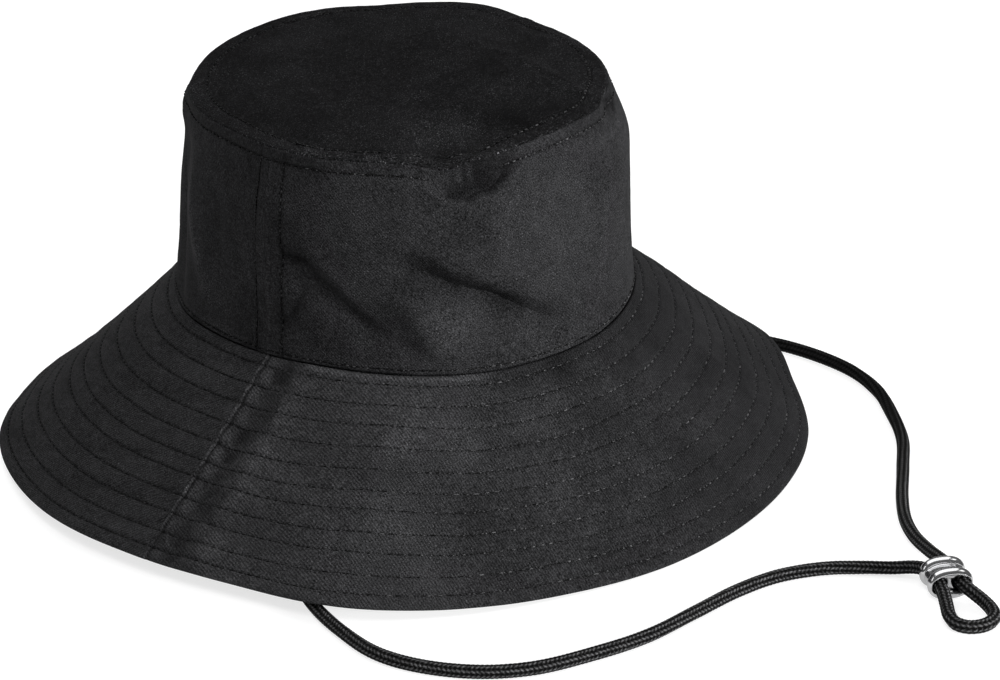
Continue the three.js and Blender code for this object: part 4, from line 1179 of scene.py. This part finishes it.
def floor_material():
    m, t, shader = nodes_of("floor")
    coord = t.nodes.new("ShaderNodeTexCoord")
    tone = noise_node(t, coord.outputs["Object"], 3.0, 2.0)
    colour = ramp(t, tone, [(0.0, (0.34, 0.34, 0.34)), (1.0, (0.36, 0.36, 0.36))])
    t.links.new(colour, shader.inputs["Base Color"])
    shader.inputs["Roughness"].default_value = 0.9
    shader.inputs["Specular IOR Level"].default_value = 0.1
    shader.inputs["Emission Color"].default_value = (1, 1, 1, 1)
    path = t.nodes.new("ShaderNodeLightPath")
    glow = math_node(t, "SUBTRACT", 0.74, math_node(t, "MULTIPLY", path.outputs["Is Glossy Ray"], 0.48))
    t.links.new(glow, shader.inputs["Emission Strength"])
    return m


# One cloth in three copies: the top panel's is painted darker and the brim's lighter, as painted shade and light.
CLOTH = cloth_material("crown_cloth", (0.0023, 0.0023, 0.0024), (0.031, 0.031, 0.0326), 0.95, (0.7, 0.72), 0.8, 0.004, 1.15)
TOP_CLOTH = cloth_material("top_cloth", (0.0005, 0.0005, 0.0005), (0.0112, 0.0112, 0.0118), 0.95, (0.8, 0.6), 0.8, 0.002, 1.8, 0.6, 4.2, 5.0)
BRIM_CLOTH = cloth_material("brim_cloth", (0.003, 0.003, 0.0031), (0.0395, 0.0395, 0.0414), 1.15, (0.98, -0.15), 1.6, 0.004, 1.1)
THREAD_LOOK = thread_material()
HOLE_LOOK = hole_material()
BRAID = braid_material()
NICKEL = metal_material()


# ---------------------------------------------------------------- chin cord
def centripetal(points, per=40):
    p = np.asarray(points, float)
    n = len(p)
    out = []
    for i in range(n - 1):
        p1, p2 = p[i], p[i + 1]
        p0 = p[i - 1] if i > 0 else 2 * p[0] - p[1]
        p3 = p[i + 2] if i + 2 < n else 2 * p[-1] - p[-2]
        d0, d1, d2 = (math.sqrt(np.linalg.norm(x)) for x in (p1 - p0, p2 - p1, p3 - p2))
        t1 = ((p1 - p0) / d0 - (p2 - p0) / (d0 + d1) + (p2 - p1) / d1) * d1
        t2 = ((p2 - p1) / d1 - (p3 - p1) / (d1 + d2) + (p3 - p2) / d2) * d1
        t = np.linspace(0, 1, per, endpoint=False)[:, None]
        a = 2 * p1 - 2 * p2 + t1 + t2
        b = -3 * p1 + 3 * p2 - 2 * t1 - t2
        out.append(p1 + t1 * t + b * t * t + a * t**3)
    out.append(p[-1:])
    return np.vstack(out)


def even_steps(line, step):
    run = np.concatenate([[0], np.cumsum(np.linalg.norm(np.diff(line, axis=0), axis=1))])
    n = int(round(run[-1] / step))
    s = np.linspace(0, run[-1], n + 1)
    return s, np.stack([np.interp(s, run, line[:, q]) for q in range(3)], -1)


def frames_along(line):
    """Tangents and two turning normals that don't spin about the line."""
    t = np.gradient(line, axis=0)
    t /= np.linalg.norm(t, axis=1, keepdims=True)
    n = np.zeros_like(t)
    first = np.cross(t[0], [0.3, 0.1, 1.0])
    n[0] = first / np.linalg.norm(first)
    for i in range(1, len(t)):
        x = n[i - 1] - t[i] * np.dot(n[i - 1], t[i])
        n[i] = x / np.linalg.norm(x)
    return t, n, np.cross(t, n)


cord_s, cord_line = even_steps(centripetal(CORD_ROUTE), 0.5)
_, cord_n, cord_b = frames_along(cord_line)
CORD_RING = 40
ring_turn = (np.arange(CORD_RING) / CORD_RING)[None, :]
column = ring_turn * 8
in_column = column - np.floor(column) - 0.5
parity = 2 * (np.floor(column) % 2) - 1
strand = np.cos(2 * np.pi * (cord_s[:, None] / 1.7 + 0.9 * in_column * parity))
relief = -0.42 * hump(np.abs(in_column) - 0.5, 0.17) + 0.06 * strand + 0.04 * np.cos(np.pi * in_column)
relief = relief + 0.03 * noise(cord_s[:, None] / 6.0, ring_turn * 8, 60)
radius = CORD_DIAMETER / 2 + 0.04 + relief
spin = 2 * np.pi * ring_turn + cord_s[:, None] * 0.006 + 0.5 * noise(cord_s[:, None] / 70.0, 0.0, 61)
offsets = radius[..., None] * (np.cos(spin)[..., None] * cord_n[:, None, :] + np.sin(spin)[..., None] * cord_b[:, None, :])
cord = tube_mesh("chin_cord_braid", cord_line, offsets, BRAID)


# ---------------------------------------------------------------- cord lock
def lock_mesh():
    """An oval spool with two rounded flanges, a waist between them and one figure-eight mouth."""
    n = 144
    a = (np.arange(n) + 0.5) / n * 2 * np.pi
    ca, sa = np.cos(a), np.sin(a)
    half_w, half_h = LOCK["width"] / 2, LOCK["height"] / 2
    ox, oz = half_w * np.sign(ca) * np.abs(ca) ** 0.82, half_h * np.sign(sa) * np.abs(sa) ** 0.9
    # mouth: a slot pinched in its middle
    hr = LOCK["bore"] / 2
    hs = LOCK["pitch"] / 2
    mx = (hs + hr) * np.sign(ca) * np.abs(ca) ** 0.72
    mz = (hr + 0.05) * np.sign(sa) * np.abs(sa) ** 0.62 * (1 - 0.16 * hump(mx, 1.7))
    thick = np.hypot(ox - mx, oz - mz)
    d = LOCK["depth"] / 2
    waist = np.minimum(2.0, np.maximum(thick - 0.6, 0.5))
    quarter = np.linspace(0, 1, 9)[1:] * math.pi / 2
    section = [(0.0, y, 0.0) for y in np.linspace(0, d - 1.2, 5)]  # share to the outline, place, waist
    section += [(0.4 * (1 - math.cos(e)), d - 1.2 * (1 - math.sin(e)), 0.0) for e in quarter]
    section += [(1.0, d - 2.1 + 2.1 * math.sin(e), 1 - math.cos(e)) for e in np.linspace(math.pi / 2, -math.pi / 2, 17)]
    section += [(1.0, y, 1.0) for y in (1.6, 0.8, 0.0)]
    full_section = section + [(q, -y, w) for q, y, w in section[-2:0:-1]]
    full = full_section
    rings = []
    for q, y, w in full:
        y = y - 0.4 * smooth((0.6 - y) / 2.4)
        back_in = w * waist / np.maximum(thick, 0.1)
        x = mx + (ox - mx) * (q - back_in)
        z = mz + (oz - mz) * (q - back_in)
        rings.append(np.stack([x, np.full(n, y), z], -1))
    grid = np.stack(rings)  # (k, n, 3)
    k = len(full)
    points = grid.reshape(-1, 3)
    i = np.arange(k)[:, None]
    j = np.arange(n)[None, :]
    i2, j2 = (i + 1) % k, (j + 1) % n
    quads = np.stack([i * n + j, i2 * n + j, i2 * n + j2, i * n + j2], -1).reshape(-1, 4)
    u0, u1, v0, v1 = i / k * 0.9, (i + 1) / k * 0.9, j / n * 0.98, (j + 1) / n * 0.98
    o = np.zeros((k, n))
    uv = np.stack(
        [np.stack([u0 + o, v0 + o], -1), np.stack([u1 + o, v0 + o], -1), np.stack([u1 + o, v1 + o], -1), np.stack([u0 + o, v1 + o], -1)],
        2,
    ).reshape(-1, 2)
    faces = [tuple(q) for q in quads.tolist()]
    uvs = [uv]
    # the web between the two holes, set back from both faces
    m = 24
    start = len(points)
    zz = np.linspace(-hr + 0.15, hr - 0.15, 15)
    reach = hs - np.sqrt(np.maximum(hr * hr - zz * zz, 0)) + 0.02
    extra = []
    sy = np.cos(np.linspace(0, 2 * np.pi, m, endpoint=False))
    sx = np.sin(np.linspace(0, 2 * np.pi, m, endpoint=False))
    for z, w in zip(zz, reach):
        flat = np.sign(sy) * np.abs(sy) ** 0.5
        wide = np.sign(sx) * np.abs(sx) ** 0.5
        extra.append(np.stack([w * wide, 4.6 * flat, np.full(m, z)], -1))
    points = np.vstack([points, np.stack(extra).reshape(-1, 3)])
    for row in range(len(zz) - 1):
        for q in range(m):
            p = (start + row * m + q, start + row * m + (q + 1) % m, start + (row + 1) * m + (q + 1) % m, start + (row + 1) * m + q)
            faces.append(p[::-1])
            x0, x1 = 0.91 + 0.08 * row / 14, 0.91 + 0.08 * (row + 1) / 14
            y0, y1 = q / m * 0.95, (q + 1) / m * 0.95
            uvs.append(np.array([[x0, y0], [x0, y1], [x1, y1], [x1, y0]])[::-1])
    for row, turned in ((0, False), (len(zz) - 1, True)):
        ids = [start + row * m + q for q in range(m)]
        faces.append(tuple(ids if turned else ids[::-1]))
        x = 0.915 + 0.03 * turned
        ring_uv = [(x + 0.012 * math.cos(q), 0.975 + 0.012 * math.sin(q)) for q in np.linspace(0, 2 * np.pi, m, endpoint=False)]
        uvs.append(np.array(ring_uv if turned else ring_uv[::-1]))
    yaw = LOCK["yaw"] * DEG
    c, s = math.cos(yaw), math.sin(yaw)
    turned_points = np.stack(
        [
            LOCK["x"] + points[:, 0] * c - points[:, 1] * s,
            LOCK["y"] + points[:, 0] * s + points[:, 1] * c,
            LOCK["height"] / 2 + points[:, 2],
        ],
        -1,
    )
    return new_mesh("cord_lock_metal", turned_points, faces, NICKEL, uv=np.vstack(uvs))


lock = lock_mesh()
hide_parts("chin_cord")
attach(cord, "root")
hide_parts("cord_lock")
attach(lock, "root")


# ---------------------------------------------------------------- crown
def side_wall(name, start, end, inner_rows):
    wide = (end - start) * DEG * 90.0
    rows = (SIDE_ROW[1], SIDE_ROW[1]) if name == "crown_side_front_cloth" else (SIDE_ROW[-1], SIDE_ROW[-1])
    at = start + spaced(wide, (0, rows[0], wide - rows[1], wide), 0.9, 0.3)[:, None] / (DEG * 90.0)
    columns = len(at)
    up = spaced(84.0, (0, FOOT_ROW, 84.0 - RIM_ROW_DOWN, 84.0), 0.82, 0.26)[None, :] / 84.0
    outer = side_point(at, up)
    tuck = outer[:, :1] - place(at, 0.2 + 0 * at, 0.9 + 0 * at)
    outer = np.concatenate([tuck, outer], 1)
    up = np.concatenate([up[:, :1], up], 1)
    down = np.linspace(1, 0, inner_rows)[None, :]
    r, z = crown_side(at, down)
    nr, nz = normal_of(crown_side, at, down)
    sr, sz = -nr * CROWN_WALL, -nz * CROWN_WALL
    foot = mitre((nr[:, -1:], nz[:, -1:]), normal_of(brim, at, np.zeros((1, 1))), CROWN_WALL)
    head = mitre((nr[:, :1], nz[:, :1]), normal_of(crown_top, at, np.ones((1, 1))), CROWN_WALL)
    sr[:, -1:], sz[:, -1:] = foot
    sr[:, :1], sz[:, :1] = head
    # inside, the seam allowances lie on the wall, and the cord's ends are caught under them
    height = z - SEAM_Z
    seam = to_seams(at, 90.0)
    thick = 0.5 * band(np.abs(seam), 5.5, 1.5) + 0.5 * band(height, 9.0, 1.5) * smooth(height / 1.5)
    tab = smooth(height / 1.5) * (1 - smooth((height - 7.0) / 6.0))
    thick = thick + 7.4 * tab * (1 - smooth((np.abs(to_seams(at, 86.0) - 1.0) - 2.2) / 3.6))
    sr, sz = sr - nr * thick, sz - nz * thick
    inner = place(at, r + sr, z + sz)
    grid = np.concatenate([outer, inner], 1)
    shift = np.zeros((columns, 1, 3))
    for q, sign in ((0, 1), (columns - 1, -1)):
        d = at[q, 0] * DEG
        shift[q, 0] = np.array([math.cos(d), math.sin(d), 0]) * sign * 0.03
    grid = grid + shift
    h = 84.0
    s_all = np.concatenate([up[0] * h, down[0] * h])
    painted_light_and_tone = side_painted_light_and_tone(at, s_all[None, :] / h)
    weave = np.stack(np.broadcast_arrays(at * DEG * 90.0, s_all[None, :], painted_light_and_tone), -1)
    return wall_mesh(name, grid, up.shape[1], weave, CLOTH, flip=False)


def top_wall(name, columns, rows, inner_rows):
    """A disc of two faces; the rings run from the middle to the seam and back underneath."""
    at = (np.arange(columns) / columns * 360)[:, None]
    share = 1 - spaced(83.0, (0, RIM_ROW_IN), rows, 0.28)[::-1][None, :] / 84.0
    outer = top_point(at, share)
    under = np.linspace(1, 0.012, inner_rows)[None, :]
    r, z = crown_top(at, under)
    nr, nz = normal_of(crown_top, at, under)
    sr, sz = -nr * CROWN_WALL, -nz * CROWN_WALL
    sr[:, :1], sz[:, :1] = mitre((nr[:, :1], nz[:, :1]), normal_of(crown_side, at, np.ones((1, 1))), CROWN_WALL)
    thick = 0.5 * band((1 - under) * rib(at, "topR"), 8.5, 1.5) * smooth((1 - under) * 84 / 1.0)
    sr, sz = sr - nr * thick, sz - nz * thick
    inner = place(at, r + sr, z + sz)
    grid = np.concatenate([outer, inner], 1)
    k = grid.shape[1]
    points = grid.reshape(-1, 3)
    i = np.arange(columns)[:, None]
    j = np.arange(k - 1)[None, :]
    i2 = (i + 1) % columns
    quads = np.stack([i * k + j, i * k + j + 1, i2 * k + j + 1, i2 * k + j], -1).reshape(-1, 4)
    # the map: two discs side by side
    radius_of = np.concatenate([share[0], under[0]]) * 0.245
    n_out = share.shape[1]
    cx = np.where(np.arange(k) < n_out, 0.25, 0.75)
    ca, sa = np.cos(at * DEG), np.sin(at * DEG)
    mapped = np.stack([cx[None, :] + radius_of[None, :] * ca, 0.5 + radius_of[None, :] * sa], -1)
    flat = mapped.reshape(-1, 2)
    uv = flat[quads].copy()
    # the thin edge between the discs gets a strip of its own
    edge = np.zeros(quads.shape[0], bool).reshape(columns, k - 1)
    edge[:, n_out - 1] = True
    e = np.nonzero(edge.reshape(-1))[0]
    x0 = (np.arange(columns) / columns) * 0.98
    x1 = ((np.arange(columns) + 1) / columns) * 0.98
    uv[e] = np.stack(
        [np.stack([x0, 0 * x0 + 0.01], -1), np.stack([x0, 0 * x0 + 0.02], -1), np.stack([x1, 0 * x0 + 0.02], -1), np.stack([x1, 0 * x0 + 0.01], -1)],
        1,
    )
    uv = uv.reshape(-1, 2)
    faces = [tuple(q) for q in quads.tolist()]
    uvs = [uv]
    weave = points.copy()
    weave[:, 2] = top_painted_light_and_tone(points[:, 0], points[:, 1])
    extra, extra_weave = [], []
    for row, up in ((0, True), (k - 1, False)):
        pole = len(points) + len(extra)
        extra.append(grid[:, row].mean(0))
        extra_weave.append([0, 0, 1])
        for q in range(columns):
            a, b = q * k + row, ((q + 1) % columns) * k + row
            faces.append((pole, a, b) if up else (pole, b, a))
            c = (0.25 if up else 0.75, 0.5)
            tri = np.array([c, flat[a], flat[b]] if up else [c, flat[b], flat[a]])
            uvs.append(tri)
    points = np.vstack([points, extra])
    weave = np.vstack([weave, extra_weave])
    return new_mesh(name, points, faces, TOP_CLOTH, uv=np.vstack(uvs), weave=weave)


side_front = side_wall("crown_side_front_cloth", LEFT_SEAM, RIGHT_SEAM, 17)
side_back = side_wall("crown_side_back_cloth", RIGHT_SEAM, LEFT_SEAM + 360, 17)
top = top_wall("crown_top_cloth", 350, 0.95, 16)


# ---------------------------------------------------------------- brim
def brim_wall(name, start, end, under_rows, step):
    wide = (end - start) * DEG * 127.0
    at = start + spaced(wide, (0, wide), step, 0.32)[:, None] / (DEG * 127.0)
    columns = len(at)
    out = spaced(92.0, [0, *(92.0 * w for w in BRIM_ROWS), 92.0], 0.95, 0.3, 0.8)[None, :] / 92.0
    upper = brim_point(at, out)
    tucks = [upper[:, :1] - place(at, inward + 0 * at, fall + 0 * at) for inward, fall in ((2.2, 0.55), (1.0, 0.3))]
    upper = np.concatenate([*tucks, upper], 1)
    out = np.concatenate([out[:, :1], out[:, :1], out], 1)
    back_out = np.linspace(1, 0, under_rows)[None, :]
    lower = brim_point(at, back_out, under=True)
    # the mitred end under the seam
    r, z = brim(at, np.zeros((1, 1)))
    own = normal_of(brim, at, np.zeros((1, 1)))
    mr, mz = mitre(own, normal_of(crown_side, at, np.zeros((1, 1))), BRIM_WALL)
    lower[:, -1:] = place(at, r + mr, z + mz)
    # round edge
    top_edge, low_edge = upper[:, -1:], lower[:, :1]
    tr, tz = along(brim, at, np.ones((1, 1)))
    tip = place(at, tr, tz) - place(at, 0 * tr, 0 * tz)
    middle = (top_edge + low_edge) / 2
    half = (top_edge - low_edge) / 2
    angles = np.linspace(90, -90, 9)[1:-1] * DEG
    nose = np.concatenate([middle + half * math.sin(x) + tip * 1.25 * math.cos(x) for x in angles], 1)
    grid = np.concatenate([upper, nose, lower], 1)
    shift = np.zeros((columns, 1, 3))
    for q, sign in ((0, 1), (columns - 1, -1)):
        d = at[q, 0] * DEG
        shift[q, 0] = np.array([math.cos(d), math.sin(d), 0]) * sign * 0.03
    grid = grid + shift
    grid[..., 2] = np.maximum(grid[..., 2], 0.02)
    # the cloth's own flat pattern: the brim unrolled
    section = np.concatenate([out[0], 1 + np.arange(1, len(angles) + 1) * 0.5 / 92, 1.045 + (1 - back_out[0])])[None, :]
    a, b = rib(at, "baseR"), rib(at, "edgeR")
    flat_r = (a + (b - a) * section) / 0.8
    flat_a = at * 0.8 * DEG
    painted_light_and_tone = brim_painted_light_and_tone(at, np.clip(section, 0, 1))
    weave = np.stack(np.broadcast_arrays(flat_r * np.sin(flat_a), -flat_r * np.cos(flat_a), painted_light_and_tone), -1)
    return wall_mesh(name, grid, out.shape[1] + len(angles) // 2, weave, BRIM_CLOTH, flip=True)


brim_front = brim_wall("brim_front_cloth", LEFT_SEAM, RIGHT_SEAM, 34, 1.1)
brim_back = brim_wall("brim_back_cloth", RIGHT_SEAM, LEFT_SEAM + 360, 34, 1.35)


# ---------------------------------------------------------------- rows of stitches
def turn_path(at0, at1):
    return lambda t: at0 + (at1 - at0) * t


def level(s):
    return lambda t: s + 0 * t


full = turn_path(LEFT_SEAM, LEFT_SEAM + 360)
upper_rows = [stitches(lambda a, s, lift=0.0: brim_point(a, s, lift), full, level(w), seed=100 + q) for q, w in enumerate(BRIM_ROWS)]
under_rows = [
    stitches(lambda a, s, lift=0.0: brim_point(a, s, lift, under=True), full, level(w), seed=130 + q, sides=4, rings=3, radius=THREAD * 1.1)
    for q, w in enumerate(BRIM_ROWS)
]
hole_rows = [needle_holes(lambda a, s, lift=0.0: brim_point(a, s, lift), full, level(w), seed=100 + q) for q, w in enumerate(BRIM_ROWS)]
hole_rows.append(needle_holes(side_point, full, lambda t: FOOT_ROW / 84 + 0 * t, pitch=2.7, seed=160, radius=0.44))
hole_rows.append(needle_holes(side_point, full, lambda t: 1 - RIM_ROW_DOWN / (rim_z(full(t)) - SEAM_Z), pitch=3.0, seed=161, radius=0.44))
hole_rows.append(needle_holes(top_point, full, lambda t: 1 - RIM_ROW_IN / rib(full(t), "topR"), pitch=3.0, seed=180, radius=0.44))
crown_rows = [
    stitches(proud_side_point, full, lambda t: FOOT_ROW / 84 + 0 * t, pitch=2.7, length=2.1, seed=160),
    stitches(proud_side_point, full, lambda t: 1 - RIM_ROW_DOWN / (rim_z(full(t)) - SEAM_Z), pitch=3.0, length=2.4, seed=161),
]
for q, (seam_at, side, away) in enumerate(
    ((LEFT_SEAM, 1, SIDE_ROW[1]), (LEFT_SEAM, -1, SIDE_ROW[-1]), (RIGHT_SEAM, 1, SIDE_ROW[-1]), (RIGHT_SEAM, -1, SIDE_ROW[1]))
):
    crown_rows.append(
        stitches(
            proud_side_point,
            lambda t, c=seam_at, k=side * away: c + k / (rib(c, "baseR") * DEG) + 0 * t,
            lambda t: 0.03 + (0.995 - RIM_ROW_DOWN / 84 - 0.03) * t,
            pitch=3.0,
            length=2.4,
            seed=170 + q,
        )
    )
    hole_rows.append(
        needle_holes(
            side_point,
            lambda t, c=seam_at, k=side * away: c + k / (rib(c, "baseR") * DEG) + 0 * t,
            lambda t: 0.03 + (0.995 - RIM_ROW_DOWN / 84 - 0.03) * t,
            pitch=3.0,
            seed=170 + q,
            radius=0.44,
        )
    )
top_rows = [
    stitches(top_point, full, lambda t: 1 - RIM_ROW_IN / rib(full(t), "topR"), pitch=3.0, length=2.4, seed=180),
]

pieces = [
    (side_front, "crown_side_front", "hat_cloth"),
    (side_back, "crown_side_back", "hat_cloth"),
    (top, "crown_top", "hat_cloth"),
    (brim_front, "brim_front", "brim_cloth"),
    (brim_back, "brim_back", "brim_cloth"),
]
for piece, node, material_slot in pieces:
    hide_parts(node)
    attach(piece, "root")

for name, parts, material_slot in (
    ("brim_stitches_upper", upper_rows, "brim_cloth"),
    ("brim_stitches_under", under_rows, "brim_cloth"),
    ("crown_stitches", crown_rows, "hat_cloth"),
    ("top_stitches", top_rows, "hat_cloth"),
):
    points, faces = join_parts(parts)
    piece = new_mesh(name, points, faces, THREAD_LOOK)
    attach(piece, "root")

points, faces = join_parts(hole_rows)
holes = new_mesh("needle_holes", points, faces, HOLE_LOOK)
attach(holes, "root")

# ---------------------------------------------------------------- floor and light
floor_mesh = bpy.data.meshes.new("floor")
w = 6.0
floor_mesh.from_pydata([(-w, -w, 0), (w, -w, 0), (w, w, 0), (-w, w, 0)], [], [(0, 1, 2, 3)])
floor_mesh.materials.append(floor_material())
floor = bpy.data.objects.new("floor", floor_mesh)
bpy.context.scene.collection.objects.link(floor)


def area_light(name, azimuth, elevation, distance, wide, high, level, mirrored=False, lit=True, aim_at=(0.0, -0.03, 0.07)):
    """level is the brightness that it gives a white matt face turned to it; mirrored lights are
    the broad ones that the metal shows, and lit ones light the matt surfaces."""
    data = bpy.data.lights.new(name, "AREA")
    data.shape = "RECTANGLE"
    data.size = wide
    data.size_y = high
    data.energy = level * math.pi**2 * distance**2
    light = bpy.data.objects.new(name, data)
    a, e = azimuth * DEG, elevation * DEG
    direction = Vector((math.sin(a) * math.cos(e), -math.cos(a) * math.cos(e), math.sin(e)))
    light.location = Vector(aim_at) + direction * distance
    light.rotation_euler = (-direction).to_track_quat("-Z", "Y").to_euler()
    light.visible_glossy = mirrored
    light.visible_diffuse = lit
    bpy.context.scene.collection.objects.link(light)
    return light


area_light("key", 6, 9, 2.0, 0.8, 0.42, 1.9)
area_light("rim_right", 44, 12, 1.9, 0.6, 0.5, 0.22)
area_light("behind", -160, 58, 2.1, 1.0, 1.0, 0.14)
area_light("front", -64, 60, 2.1, 0.9, 0.9, 0.48)
area_light("overhead", 135, 52, 2.0, 2.2, 2.4, 0.46)
area_light("softbox", 135, 80, 2.0, 2.6, 2.8, 0.72, True, False)
area_light("left_panel", -118, 30, 2.0, 0.7, 0.9, 0.06, True)
area_light("right_panel", 30, 42, 2.0, 0.8, 0.5, 0.05, True)

world = bpy.data.worlds.new("studio")
world.use_nodes = True
wt = world.node_tree
wt.nodes.clear()
wout = wt.nodes.new("ShaderNodeOutputWorld")
wback = wt.nodes.new("ShaderNodeBackground")
wt.links.new(wback.outputs[0], wout.inputs[0])
wcoord = wt.nodes.new("ShaderNodeTexCoord")
wxyz = wt.nodes.new("ShaderNodeSeparateXYZ")
wt.links.new(wcoord.outputs["Generated"], wxyz.inputs[0])
wramp = wt.nodes.new("ShaderNodeValToRGB")
wt.links.new(wxyz.outputs[2], wramp.inputs[0])
e = wramp.color_ramp.elements
e[0].position, e[0].color = 0.0, (0.5, 0.5, 0.5, 1)
e[1].position, e[1].color = 1.0, (1.0, 1.0, 1.0, 1)
wt.links.new(wramp.outputs[0], wback.inputs[0])
wback.inputs[1].default_value = 0.16
bpy.context.scene.world = world

bpy.context.scene.view_settings.view_transform = "Standard"
bpy.context.scene.view_settings.look = "None"

bpy.context.view_layer.update()
